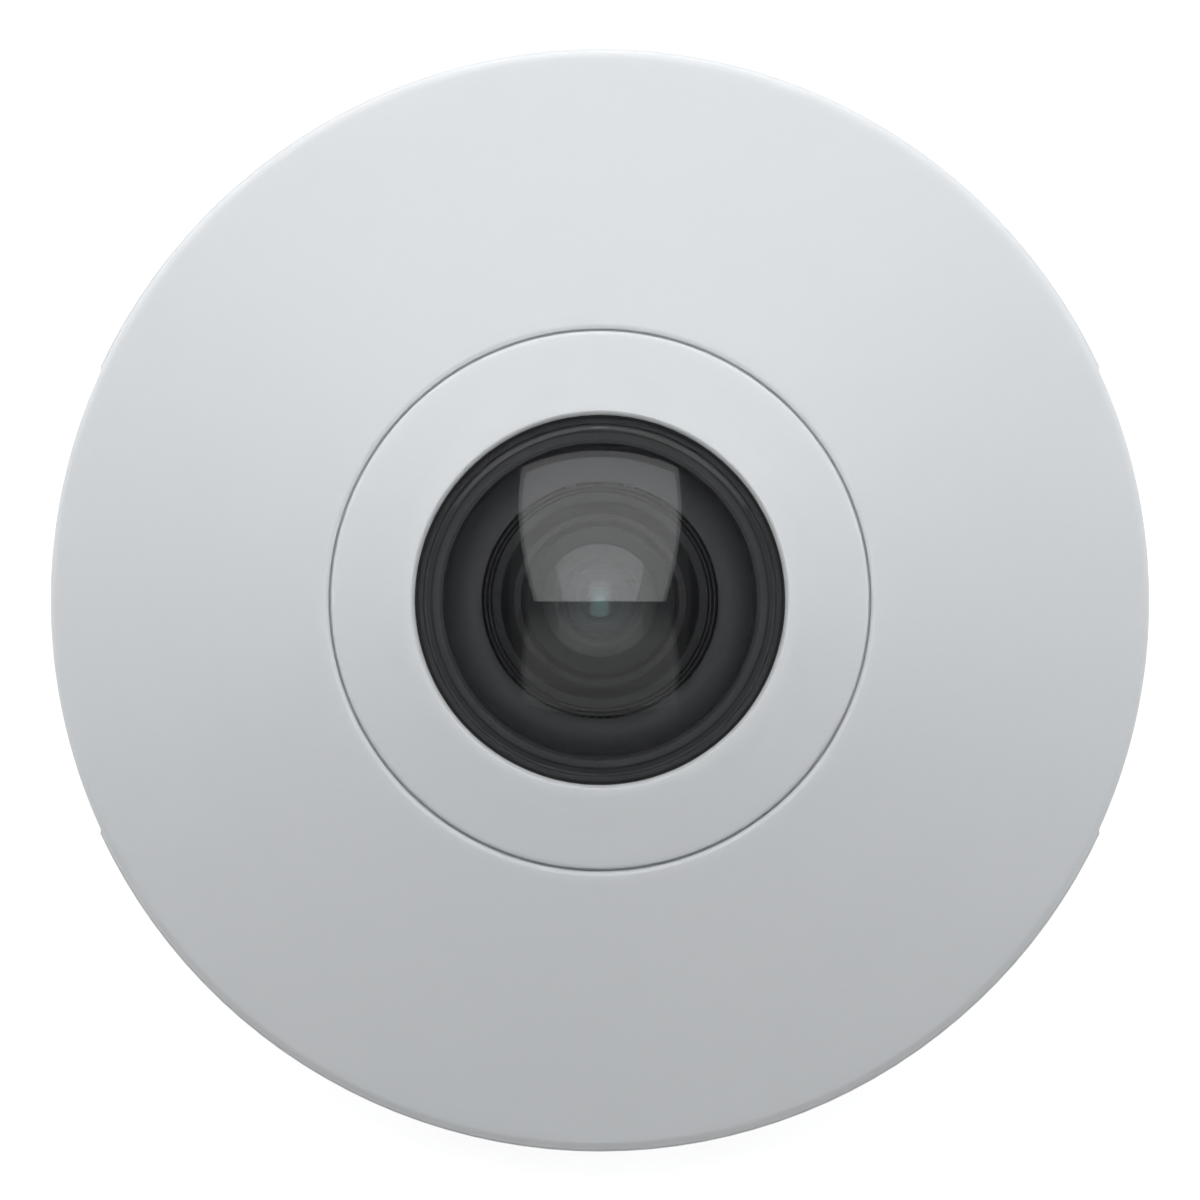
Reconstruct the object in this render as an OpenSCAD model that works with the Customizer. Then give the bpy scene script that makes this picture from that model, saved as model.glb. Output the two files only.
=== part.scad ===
// Ceiling camera with a fisheye lens, in millimetres.
// The ceiling face is z = 0 and the lens looks along +Z. Seen from the front, +X is right and +Y is up.

/* [Base] */
// Diameter of the base rim
rim_d = 130; // [128:1:140]
// Height of the rim's top above the ceiling
rim_h = 8; // [7.8:0.1:9]
// Wall of the base rim
rim_wall = 2.5; // [2.2:0.1:2.8]
// Thickness of the base floor
floor_t = 2; // [1.7:0.1:2.2]
// Half angle of each finger recess in the rim
recess_half = 21; // [16:1:24]
// Depth of the finger recesses
recess_depth = 1.6; // [1.2:0.1:1.8]
// Bore of the cable grommet
cable_d = 6.2; // [5:0.1:7]

/* [Bracket] */
// Thickness of the bracket's sheet
bracket_t = 1.5; // [1.2:0.1:1.7]
// Distance from the bracket's plate out to the rim
bracket_inset = 13; // [12:0.5:14]
// Radius of the bracket's centre hole
opening_r = 12; // [10:0.5:14]
// Diameter of the circle of ceiling screws
screw_circle_d = 76; // [70:1:84]
// Diameter of the ceiling screw holes
screw_hole_d = 4.5; // [4:0.1:5]
// Distance between the two junction box slots
box_pitch = 60; // [56:1:66]
// Angle that the camera turns to leave the bracket
twist = 24; // [23:1:26]

/* [Cover] */
// Step from the rim in to the cover's upper edge
cover_inset = 0.825; // [0.6:0.025:1.2]
// Wall of the cover
cover_t = 2; // [1.6:0.1:2.3]
// Radius of the fillet at the cover's edge
edge_fillet = 1.6; // [1.2:0.1:2]
// Slope of the face where it meets the fillet
edge_slope = 22.3; // [21.5:0.1:23]
// Radius of the face's slight crown
crown_r = 560; // [500:10:700]

/* [Bezel] */
// Width of the bezel's white face
bezel_w = 9.315; // [8.8:0.005:9.8]
// Gap between the bezel and the cover
seam_gap = 0.3; // [0.2:0.05:0.5]
// Inward slope of the bezel's bore, from the face to the lip
lip_step = 0.495; // [0.3:0.005:0.6]
// Depth of the bezel's bore
lip_h = 1.2; // [1:0.1:1.4]

/* [Dome] */
// Height of the dome above the bezel's lip
dome_rise = 8.66; // [8:0.02:9.2]
// Wall of the dome
dome_t = 2; // [1.8:0.1:2.2]
// Reach of the dome's flange under the bezel's lip
flange_w = 3.21; // [3.1:0.01:3.4]
// Thickness of the dome's flange
flange_t = 2; // [1.8:0.1:2.2]
// Width of the bowl round the lens
bowl_w = 4.085; // [3.8:0.005:4.6]

/* [Lens] */
// Length of the lens from its foot to the top of the front glass
lens_l = 17.45; // [16.5:0.05:18.5]
// Diameter of the front glass that shows
view_d = 12.88; // [12.4:0.02:13]
// Radius of the front glass's sphere
glass_r = 16; // [14:0.5:18]
// Room between the front glass and the dome
lens_clear = 3; // [2.6:0.1:3.4]
// Diameter of the lens's threaded tube
tube_d = 14; // [13.4:0.1:14.4]
// Diameter of the lens's stepped head
head_d = 26.6; // [26:0.1:27.2]

/* [Electronics] */
// Distance from the inner housing out to the bracket's plate edge
housing_inset = 6; // [5.6:0.1:7]
// Wall of the inner housing
housing_t = 1.8; // [1.6:0.1:2]
// Height of the main board above the base floor
board_lift = 3.6; // [3.4:0.1:3.8]
// Thickness of the main board
board_t = 1.6; // [1.4:0.1:1.8]
// Height of the sensor board above the main board
sensor_lift = 3.3; // [3.1:0.1:3.5]
// Travel of the control button
button_travel = 0.8; // [0.5:0.1:0.9]
// Width of the network socket
socket_w = 16; // [15.6:0.1:16.4]
// Height of the network socket
socket_h = 11.6; // [11.4:0.1:12]
// Travel of the filter carriage
filter_travel = 7.8; // [7.6:0.1:8]

/* [Hidden] */
$fn = 96;

// Cuts run this far past the faces that they open
overrun = 1;
// Air between pieces that move, and between pieces that fit in each other
air = 0.3;
fit = 0.05;
// Shapes of one piece run this far into each other
weld = 0.05;

// Base and bracket
rim_r = rim_d / 2;
rim_in_r = rim_r - rim_wall;
rim_low = 0.6;
rim_fillet = 0.6;
recess_end_r = 8;
recess_r = rim_r - recess_depth;
recess_back_t = 2.2;
recess_spread = 2;
bayonet_h = 3.5;
floor_low = bracket_t + bayonet_h;
floor_top = floor_low + floor_t;
bracket_r = rim_r - bracket_inset;
housing_r = bracket_r - housing_inset;
upstand_inset = 0.2;
upstand_t = 1.5;
upstand_r = bracket_r - upstand_inset;
hook_reach = 4.4;
hook_t = 1.4;
hook_half = 10;
hook_angles = [90, 210, 330];
hook_out_r = bracket_r + hook_reach;
hook_top = floor_low - air;
hook_low = hook_top - hook_t;
shoe_t = 1;
shoe_gap = 0.2;
shoe_top = hook_low - shoe_gap;
shoe_lead = 2;
stop_gap = 0.5;
stop_span = 4;
stop_back = 0.5;
shoe_in_r = bracket_r + (hook_out_r - bracket_r) / 2;
bayonet_in_r = hook_out_r + 2 * air;
bayonet_wall = 2;
bayonet_low = 0.9;
bayonet_out_r = bayonet_in_r + bayonet_wall;
rim_rib_t = 1.4;
rim_rib_h = 3;
rim_rib_count = 12;
rim_rib_angles = [for (i = [1:rim_rib_count]) (i - 1 / 2) * 360 / rim_rib_count];
bracket_edge = 3;
cable_swing = 12;
slot_l = 12;
cable_inset = 19;
cable_y = cable_inset - rim_r;
grommet_wall = 3.9;
grommet_hole_r = cable_d / 2 + grommet_wall;
grommet_lip = 1.5;
grommet_lip_t = 1;
thermal_boss_h = 1;

// Screws: radius and height of each head, play in the hole, and room past the tip
chassis_head = [2.8, 1.6];
board_head = [2.1, 1.3];
sensor_head = [1.9, 1.2];
holder_head = [1.6, 1];
bezel_head = [1.4, 1.4];
screw_play = 0.15;
tip_gap = 0.5;

// Heights of the boards and of the network socket
board_low = floor_top + board_lift;
board_top = board_low + board_t;
sensor_board_low = board_top + sensor_lift;
sensor_board_t = 1.4;
sensor_board_top = sensor_board_low + sensor_board_t;
socket_low = floor_top + air;
socket_top = socket_low + socket_h;

// Sensor, filter changer and lens holder
sensor_w = 9.6;
sensor_t = 0.9;
sensor_glass_w = 8.6;
sensor_glass_t = 0.5;
chamber_w = 10.4;
chamber_h = 1.6;
web_t = 0.5;
slide_z = sensor_board_top + chamber_h + web_t;
slide_h = 1.7;
roof_t = 1.1;
holder_roof = slide_z + slide_h + roof_t;
holder_y = [-7, 6.2];
holder_wall = 1.2;
window_r = 4.2;
carriage_h = 1.3;
carriage_lift = 0.1;
carriage_side = 4.7;
carriage_y = 4.6;
pane_w = 7.2;
pane_lip = 0.3;
pane_t = 0.5;
holder_w = 2 * (filter_travel + carriage_side + air + holder_wall);
swing_half = 35;
arm_r = filter_travel / 2 / sin(swing_half);
pin_r = 0.5;
pin_slack = 0.25;
pin_x = filter_travel / 2;
pin_gap = 1.2;
pin_y_near = holder_y[1] + pin_gap;
rotor_y = pin_y_near + arm_r;
pin_y_far = rotor_y - arm_r * cos(swing_half);
tab_half = 1.6;
tab_edge = 0.95;
tab_end = pin_y_far + pin_r + tab_edge;
arm_half = 0.8;
arm_t = 0.6;
arm_low = slide_z + 2 * carriage_lift + carriage_h;
foot_t = 0.6;
foot_half = 5.5;
magnet_r = 2.4;
pivot_r = 0.5;
yoke_t = 1.2;
magnet_gap = 0.4;
yoke_in = magnet_r + magnet_gap;
yoke_h = 2.5;
coil_half = 2.3;
coil_wall = 0.85;
yoke_back = rotor_y + yoke_in + coil_wall + yoke_t;
foot_edge = 0.5;
foot_end = yoke_back + coil_wall + foot_edge;
holder_r = 9.6;
ear_x = 6;
ear_y = -9.2;
ear_r = 2.3;
ear_h = 3;
ear_bore_h = 2.6;

// Lens, from its foot up
barrel_gap = 0.4;
barrel_low = holder_roof + barrel_gap;
view_r = view_d / 2;
glass_top = barrel_low + lens_l;
glass_cz = glass_top - glass_r;
glass_z = glass_cz + sqrt(pow(glass_r, 2) - pow(view_r, 2));
glass_hidden = 0.76;
glass_rim_r = view_r + glass_hidden;
glass_edge = glass_cz + sqrt(pow(glass_r, 2) - pow(glass_rim_r, 2));
glass_drop = 2.85;
glass_seat = glass_z - glass_drop;
glass_t = 1.3;
glass_hollow_r = 5;
ring_lift = 0.15;
ring_wall = 1.1;
ring_top_r = glass_rim_r + ring_wall;
ring_foot_drop = 3.65;
ring_foot_z = glass_z - ring_foot_drop;
ring_edge_drop = 0.7;
head_r = head_d / 2;
ring_foot_share = 0.679;
step_shares = [0.7331, 0.7481, 0.8353, 0.8534, 0.9248, 0.9398, 0.9579, 0.9752];
ring_foot_r = head_r * ring_foot_share;
step_r = head_r * step_shares;
step_drop = 2.9;
head_step_z = ring_foot_z - step_drop;
head_groove_h = 0.6;
head_chamfer = 0.2;
head_low = head_step_z - step_drop;
lock_ring_t = 1.2;
lock_ring_r = 10.2;
lock_notch_r = 0.8;
lock_notch_count = 12;
holder_top = head_low - lock_ring_t;
tube_r = tube_d / 2;
second_r = 4.9;
second_drop = 6.85;
second_low = glass_z - second_drop;
second_t = 2.4;
second_hollow_r = 4.6;
second_hollow_h = 1.5;
lens_r = 3.9;
lens_bend = 8;
ring_t = 0.8;
ring_w = 0.9;
rear_ring_inset = 0.2;
rear_ring_low = barrel_low + rear_ring_inset;
rear_low = rear_ring_low + ring_t;
stack_l = second_low - rear_low;
rear_share = 0.388;
middle_share = 0.4244;
rear_t = stack_l * rear_share;
stop_low = rear_low + rear_t;
stop_t = 0.3;
stop_hole_r = 1.1;
middle_low = stop_low + stop_t;
middle_t = stack_l * middle_share;
bore_step = middle_low + middle_t;

// Shroud, dome and seal, from the lens out
bowl_gap = 0.265;
bowl_in_r = head_r + bowl_gap;
bowl_r = bowl_in_r + bowl_w;
ledge_w = 0.075;
ledge_r = bowl_r + ledge_w;
ledge_drop = 0.45;
deck_hole_w = 1.75;
deck_hole_r = bowl_r + deck_hole_w;
groove_in = 1.52;
groove_out = 2.14;
shroud_groove = [bowl_r + groove_in, bowl_r + groove_out];
shroud_groove_h = 0.8;
shroud_rim_w = 2.35;
shroud_rim_in = bowl_r + shroud_rim_w;
shroud_chamfer = 0.2;
lip_w = 3.64;
lip_r = bowl_r + lip_w;
bore_r = lip_r + lip_step;
bezel_r = bore_r + bezel_w;
seam_w = 0.2;
seam_r = lip_r - seam_w;
dome_r = (pow(seam_r, 2) + pow(dome_rise, 2)) / (2 * dome_rise);
dome_top = glass_top + lens_clear + dome_t;
dome_cz = dome_top - dome_r;
lip_z = dome_top - dome_rise;
seal_t = 0.75;
seal_wrap = 0.4;
seal_fit = 0.03;
flange_r = lip_r + flange_w;
flange_top = lip_z - seal_t;
flange_low = flange_top - flange_t;
pocket_r = flange_r + seal_wrap + fit;
shroud_t = 2;
shroud_r = flange_r;
deck_top = flange_low - shroud_t;
deck_t = housing_t;
deck_low = deck_top - deck_t;
bowl_drop = 1;
bowl_h = 3.2;
bowl_z = flange_low - bowl_drop - bowl_h;
bowl_t = 0.95;
bowl_back_share = 0.75;

// Cover and bezel
shadow_gap = 0.4;
cover_r = rim_r - cover_inset;
cover_low = rim_h + shadow_gap;
cover_draft = 0.12;
fillet_cr = cover_r - edge_fillet;
face_cr = fillet_cr + (edge_fillet - crown_r) * sin(edge_slope);
face_cz = lip_z + lip_h - sqrt(pow(crown_r, 2) - pow(bore_r - face_cr, 2));
edge_z = face_cz - (edge_fillet - crown_r) * cos(edge_slope);
bezel_chamfer = 0.12;
bezel_inner_wall = 1.75;
bezel_outer_wall = 2.1;
bezel_boss_r = 1.5;
hole_r = bezel_r + seam_gap;
hole_fillet = 0.5;
hole_cr = hole_r + hole_fillet;
hole_cz = shell_z(hole_cr, hole_fillet);
hole_a = acos((hole_cr - face_cr) / (crown_r - hole_fillet));
collar_t = 1.6;
collar_h = 4;
collar_low = face_z(hole_r) - collar_h;
rib_t = 1.2;
rib_h = 1.6;
rib_count = 8;
tongue_t = 1.5;
tongue_span = 16;
tongue_rise = 5;
tongue_angles = [45, 135, 225, 315];
tongue_out_r = rim_in_r - air;
tongue_low = floor_top + air;

// Inner housing
neck_step = 0.7;
neck_r = bezel_r - neck_step;
neck_t = 1.4;
neck_in_r = neck_r - neck_t;
socket_room = 1.24;
roof_low = socket_top + socket_room;
shoulder_top = roof_low + housing_t;
housing_in_r = housing_r - housing_t;
back_y = -31.8;
back_in_y = back_y + housing_t;
boss_r = 3;
boss_gap = 0.7;
boss_ring_r = housing_in_r - boss_r - boss_gap;
boss_angles = [40, 140, 215, 325];
boss_bore_r = 1.45;
boss_bore_h = 7;
bezel_screw_ring_r = pocket_r + bezel_inner_wall + bezel_boss_r / 2;
bezel_screw_angles = [30, 150, 270];
bezel_bore_r = 0.9;
bezel_bore_h = 1.9;

// Outlines of the boards
board_gap = 1.7;
board_r = housing_in_r - board_gap;
board_back_gap = 1.4;
board_cut_y = back_in_y + board_back_gap;
notch_gap = 1;
board_notch_r = boss_r + notch_gap;
post_r = 3;
post_ring_r = 31;
post_angles = [25, 155, 238, 302];
post_bore_r = 1;
post_bore_h = 3;
sensor_board_w = 30;
sensor_board_y = [-12, 22];
spacer_places = [[-12.5, -9.5], [12.5, -9.5], [-12.5, 19.5], [12.5, 19.5]];
spacer_r = 2.2;
spacer_bore_r = 0.8;

// Parts on the main board
socket_l = 16;
socket_inset = 0.2;
socket_y = back_y + socket_inset;
socket_skin = 0.35;
socket_tab = [2, 8, 0.4];
plug_w = 11.9;
plug_h = 7.6;
plug_l = 12;
plug_floor = 1.4;
plug_low = socket_low + plug_floor;
latch_w = 6.4;
latch_h = 1.6;
contact_count = 8;
contact_pitch = 1.02;
contact_w = 0.4;
contact_l = 9;
contact_tilt = 12;
card_l = 15;
card_w = 11;
card_t = 1;
card_out = 1;
card_x = -housing_r - card_out;
card_seat = 0.5;
card_low = board_top + card_seat;
card_grip = [0.7, 0.22];
card_notch = [5, 1.3];
card_socket_inset = 0.5;
card_socket_x = card_socket_inset - board_r;
card_socket_l = 14.5;
card_socket_w = 14;
card_socket_h = 2;
card_socket_skin = 0.25;
chip_w = 15;
chip_t = 1.4;
chip_y = 6;
pad_inset = 0.5;
memory_size = [9, 12, 1.1];
memory_places = [[-15.5, 8], [15.5, 8]];
tall_clear = 0.6;
transformer_size = [13, 11];
transformer_place = [24, -14];
transformer_foot_h = 1.2;
core_shares = [0.85, 0.6];
winding_shares = [0.6, 0.9, 0.7];
inductor_w = 6;
inductor_h = 3;
inductor_round_share = 0.6;
inductor_places = [[21, 1], [-21, 23], [21, 23]];
capacitor_r = 3.15;
capacitor_foot_w = 6;
capacitor_places = [[36, -6], [37, 2], [35, 10]];
button_angle = 208;
button_r = 2.5;
button_wall = 1.1;
button_ring_r = neck_r + button_wall + button_r;
button_place = button_ring_r * [cos(button_angle), sin(button_angle)];
button_rise = 1.6;
button_collar_r = 3.3;
button_collar_t = 0.8;
button_tip_r = 1.2;
switch_w = 6;
switch_h = 3;
switch_well_h = 1.3;
press_gap = 0.2;
button_play = 0.1;
light_angle = 225;
light_inset = 3.54;
light_ring_r = neck_r + light_inset;
light_place = light_ring_r * [cos(light_angle), sin(light_angle)];
light_size = [2, 1.25, 1];
pipe_r = 1.5;
pipe_head_r = 2.2;
pipe_head_h = 0.8;

// Flex
flex_t = 0.3;
flex_bend = 1;
flex_y = [9, 16];
connector_over = 1;
connector_inset = 0.2;
connector_l = 3;
connector_h = 1.4;
flex_board_x = -20.5;
flex_sensor_x = connector_inset - sensor_board_w / 2;

// Height of the face's outer surface, and of a surface that lies depth below it
function face_z(r) = face_cz + sqrt(pow(crown_r, 2) - pow(r - face_cr, 2));
function shell_z(r, depth) = face_cz + sqrt(pow(crown_r - depth, 2) - pow(r - face_cr, 2));

// Points of an arc round c, without its first point
function arc(c, r, from, to, n) =
    [for (i = [1:n]) let (a = from + (to - from) * i / n) c + r * [cos(a), sin(a)]];

// Points of a curve that lies depth below the face, between two radii
function face_curve(r_from, r_to, depth, n) =
    [for (i = [0:n]) let (r = r_from + (r_to - r_from) * i / n) [r, shell_z(r, depth)]];

module at(places) {
    for (p = places) translate([p[0], p[1], 0]) children();
}

module around(angles, r) {
    for (a = angles) rotate([0, 0, a]) translate([r, 0, 0]) children();
}

module cylinder_from(r, z_low, z_high) {
    translate([0, 0, z_low]) cylinder(r = r, h = z_high - z_low);
}

// A tube whose low face is at z
module tube(r_out, r_in, z, h) {
    translate([0, 0, z]) difference() {
        cylinder(r = r_out, h = h);
        translate([0, 0, -overrun]) cylinder(r = r_in, h = h + 2 * overrun);
    }
}

// A section of points [radius, height] turned round Z from one angle to another
module turned(from, to, points) {
    rotate([0, 0, from]) rotate_extrude(angle = to - from) polygon(points);
}

module ring_piece(r_in, r_out, z_low, z_high, from, to) {
    turned(from, to, [[r_in, z_low], [r_out, z_low], [r_out, z_high], [r_in, z_high]]);
}

// A block centred in X and Y whose low face is at z
module block(size, z) {
    translate([-size[0] / 2, -size[1] / 2, z]) cube(size);
}

// A cap screw with a hexagon socket: the seat of its head is at z = 0 and its shank points down.
// The head is given as its radius and height.
module screw(head, shank_r, shank_l) {
    difference() {
        union() {
            cylinder(r = head[0], h = head[1]);
            cylinder_from(shank_r, -shank_l, head[1] / 2);
        }
        translate([0, 0, head[1] / 2]) cylinder(r = head[0] / 2, h = head[1], $fn = 6);
    }
}

// Zinc plated steel sheet: the cable's window, screw holes and three bayonet hooks
module mounting_bracket() {
    color("silver") {
        difference() {
            cylinder(r = bracket_r, h = bracket_t);
            cylinder_from(opening_r, -overrun, bracket_t + overrun);
            ring_piece(opening_r / 2, bracket_r - bracket_edge, -overrun, bracket_t + overrun,
                270 - cable_swing, 270 + twist + cable_swing);
            around([45, 135, 225, 315], screw_circle_d / 2)
                translate([0, 0, -overrun]) cylinder(d = screw_hole_d, h = bracket_t + 2 * overrun);
            for (side = [-1, 1]) translate([side * box_pitch / 2, 0, -overrun])
                linear_extrude(bracket_t + 2 * overrun) box_slot();
        }
        for (a = hook_angles) turned(a - hook_half, a + hook_half, [
            [upstand_r - upstand_t, bracket_t / 2], [upstand_r, bracket_t / 2], [upstand_r, hook_low],
            [hook_out_r, hook_low], [hook_out_r, hook_top], [upstand_r - upstand_t, hook_top]]);
    }
}

module box_slot() {
    straight = slot_l - screw_hole_d;
    for (end = [-1, 1]) translate([end * straight / 2, 0]) circle(d = screw_hole_d);
    square([straight, screw_hole_d], center = true);
}

// White painted die casting: rim, floor, bayonet ring with its shoes, and board posts
module base_housing() {
    color("whitesmoke") difference() {
        union() {
            difference() {
                rotate_extrude() rim_section();
                for (side = [0, 180]) rotate([0, 0, side]) finger_recess();
            }
            for (side = [0, 180])
                ring_piece(recess_r - recess_back_t, rim_in_r + weld, rim_low, rim_h,
                    side - recess_half - recess_spread, side + recess_half + recess_spread);
            cylinder_from(rim_in_r + weld, floor_low, floor_top);
            tube(bayonet_out_r, bayonet_in_r, bayonet_low, floor_low + weld - bayonet_low);
            for (a = hook_angles) bayonet_shoe(a);
            around(rim_rib_angles, (bayonet_out_r + rim_in_r) / 2)
                block([rim_in_r - bayonet_out_r + 2 * weld, rim_rib_t, rim_rib_h + weld],
                    floor_low - rim_rib_h);
            around(post_angles, post_ring_r) cylinder_from(post_r, floor_low + weld, board_low);
            translate([0, chip_y, 0]) block([chip_w, chip_w, thermal_boss_h + weld], floor_top - weld);
        }
        translate([0, cable_y, 0]) cylinder_from(grommet_hole_r, floor_low - overrun, floor_top + overrun);
        around(boss_angles, boss_ring_r)
            cylinder_from(boss_bore_r + screw_play, floor_low - overrun, floor_top + overrun);
        around(post_angles, post_ring_r)
            cylinder_from(post_bore_r, board_low - post_bore_h, board_low + overrun);
    }
}

module rim_section() {
    polygon(concat(
        [[rim_in_r, rim_low], [rim_r - rim_fillet / 2, rim_low], [rim_r, rim_low + rim_fillet / 2],
            [rim_r, rim_h - rim_fillet]],
        arc([rim_r - rim_fillet, rim_h - rim_fillet], rim_fillet, 0, 90, 4),
        [[rim_in_r, rim_h]]));
}

// The hollow for a finger nail, with soft ends, at the +X side of the rim
module finger_recess() {
    ring_piece(recess_r, rim_r + overrun, -overrun, rim_h + overrun, -recess_half, recess_half);
    for (end = [-1, 1]) rotate([0, 0, end * recess_half]) translate([recess_r + recess_end_r, 0, -overrun])
        cylinder(r = recess_end_r, h = rim_h + 2 * overrun);
}

module bayonet_shoe(a) {
    stop_from = a + hook_half + stop_gap;
    ring_piece(shoe_in_r, bayonet_in_r + weld, shoe_top - shoe_t, shoe_top,
        a - hook_half - shoe_lead, stop_from + stop_span);
    ring_piece(shoe_in_r + air, bayonet_in_r + weld, shoe_top - shoe_t / 2, floor_low + weld,
        stop_from, stop_from + stop_span - stop_back);
}

// Black rubber spool in the base's cable hole
module cable_grommet() {
    groove_r = grommet_hole_r - fit;
    lip_r = grommet_hole_r + grommet_lip;
    color("dimgray") translate([0, cable_y, 0]) rotate_extrude() polygon([
        [cable_d / 2, floor_low - grommet_lip_t], [lip_r, floor_low - grommet_lip_t], [lip_r, floor_low],
        [groove_r, floor_low], [groove_r, floor_top], [lip_r, floor_top],
        [lip_r, floor_top + grommet_lip_t / 2], [lip_r - grommet_lip_t / 2, floor_top + grommet_lip_t],
        [cable_d / 2, floor_top + grommet_lip_t]]);
}

// Screws from under the floor into the inner housing's bosses
module chassis_screws() {
    color("silver") around(boss_angles, boss_ring_r) translate([0, 0, floor_low])
        rotate([180, 0, 0]) screw(chassis_head, boss_bore_r - fit, floor_t + boss_bore_h - tip_gap);
}

module footprint(r, flat_y) {
    intersection() {
        circle(r = r);
        translate([-2 * r, flat_y]) square([4 * r, 4 * r]);
    }
}

// Dark grey moulded cup over the boards, with the neck and deck that carry the bezel
module inner_housing() {
    color("#3c3e41") difference() {
        union() {
            difference() {
                translate([0, 0, floor_top]) linear_extrude(shoulder_top - floor_top)
                    footprint(housing_r, back_y);
                translate([0, 0, floor_top - overrun]) linear_extrude(roof_low - floor_top + overrun)
                    footprint(housing_in_r, back_in_y);
                cylinder(r = neck_in_r, h = shoulder_top + overrun);
            }
            rotate_extrude() polygon([[neck_in_r, roof_low], [neck_r, roof_low], [neck_r, deck_top],
                [deck_hole_r, deck_top], [deck_hole_r, deck_low], [neck_in_r, deck_low]]);
            around(boss_angles, boss_ring_r) cylinder_from(boss_r, floor_top, roof_low + weld);
        }
        around(boss_angles, boss_ring_r)
            cylinder_from(boss_bore_r, floor_top - overrun, floor_top + boss_bore_h);
        around(bezel_screw_angles, bezel_screw_ring_r)
            cylinder_from(bezel_bore_r + screw_play, deck_low - overrun, deck_top + overrun);
        translate([0, back_y, 0])
            block([socket_w + 2 * air, 2 * (housing_t + overrun), socket_top + air - floor_top + overrun],
                floor_top - overrun);
        translate([-housing_r, 0, 0])
            block([4 * housing_t, card_w + 4 * air, card_t + 2 * air], card_low - air);
        at([button_place]) cylinder_from(button_r + air / 2, roof_low - overrun, shoulder_top + overrun);
        at([light_place]) cylinder_from(pipe_r + fit, roof_low - overrun, shoulder_top + overrun);
    }
}

// Green circuit board with notches for the bosses and a cut-out for the socket
module main_board() {
    color("seagreen") translate([0, 0, board_low]) linear_extrude(board_t) difference() {
        footprint(board_r, board_cut_y);
        around(boss_angles, boss_ring_r) circle(r = board_notch_r);
        around(post_angles, post_ring_r) circle(r = post_bore_r + screw_play);
        translate([-socket_w / 2 - air, board_cut_y - overrun])
            square([socket_w + 2 * air, socket_y + socket_l + air - board_cut_y + overrun]);
    }
}

module board_screws() {
    color("silver") around(post_angles, post_ring_r) translate([0, 0, board_top])
        screw(board_head, post_bore_r - fit, board_t + post_bore_h - tip_gap);
}

// Pressed steel shell of the network socket, open at its mouth, with a tab each side on the board
module network_socket() {
    color("lightgray") {
        difference() {
            translate([-socket_w / 2, socket_y, socket_low]) cube([socket_w, socket_l, socket_h]);
            translate([-socket_w / 2 + socket_skin, socket_y - overrun, socket_low + socket_skin])
                cube([socket_w - 2 * socket_skin, socket_l - socket_skin + overrun,
                    socket_h - 2 * socket_skin]);
        }
        for (side = [-1, 1])
            translate([side * (socket_w + socket_tab[0] - socket_skin) / 2, socket_y + socket_l / 2, 0])
                block([socket_tab[0] + socket_skin, socket_tab[1], socket_tab[2]], board_top);
    }
}

// Black moulding that fills the shell round the plug's space
module socket_insert() {
    w = socket_w - 2 * socket_skin;
    h = socket_h - 2 * socket_skin;
    color("#1c1c1e") difference() {
        translate([-w / 2, socket_y, socket_low + socket_skin]) cube([w, socket_l - socket_skin, h]);
        translate([-plug_w / 2, socket_y - overrun, plug_low]) cube([plug_w, plug_l + overrun, plug_h]);
        translate([-latch_w / 2, socket_y - overrun, plug_low - latch_h / 2])
            cube([latch_w, plug_l + overrun, latch_h]);
    }
}

// Eight gold wires that slant into the plug's space from the insert's back
module socket_contacts() {
    color("gold") for (i = [0:contact_count - 1])
        translate([(i - (contact_count - 1) / 2) * contact_pitch - contact_w / 2,
                socket_y + plug_l, plug_low + plug_h - 2 * contact_w])
            rotate([contact_tilt, 0, 0]) mirror([0, 1, 0]) difference() {
                cube([contact_w, contact_l, contact_w]);
                rotate([contact_tilt, 0, 0]) translate([-overrun, -contact_l, -contact_l])
                    cube([contact_w + 2 * overrun, contact_l, 2 * contact_l]);
            }
}

// Steel socket for the memory card, on the main board
module card_socket() {
    color("silver") difference() {
        translate([card_socket_x, -card_socket_w / 2, board_top])
            cube([card_socket_l, card_socket_w, card_socket_h]);
        translate([card_socket_x - overrun, -card_w / 2 - air / 2, board_top + card_socket_skin])
            cube([card_x + card_l + air - card_socket_x + overrun, card_w + air,
                card_socket_h - 2 * card_socket_skin]);
    }
}

// Memory card with its notch and finger ridge
module memory_card() {
    color("#26282b") {
        difference() {
            translate([card_x, -card_w / 2, card_low]) cube([card_l, card_w, card_t]);
            translate([card_x + card_l - card_notch[0], card_w / 2 - card_notch[1], card_low - overrun])
                cube([card_notch[0] + overrun, card_notch[1] + overrun, card_t + 2 * overrun]);
        }
        translate([card_x, -card_w / 2 + card_grip[0], card_low + card_t / 2])
            cube([card_grip[0], card_w - 2 * card_grip[0], card_t / 2 + card_grip[1]]);
    }
}

module processor() {
    color("#202225") translate([0, chip_y, 0]) block([chip_w, chip_w, chip_t], board_low - chip_t);
}

module memory_chips() {
    color("#26282b") at(memory_places) block(memory_size, board_low - memory_size[2]);
}

// Soft grey pad between the processor and the boss on the base floor
module thermal_pad() {
    pad_low = floor_top + thermal_boss_h;
    color("lightsteelblue") translate([0, chip_y, 0])
        block([chip_w - 2 * pad_inset, chip_w - 2 * pad_inset, board_low - chip_t - pad_low], pad_low);
}

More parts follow.
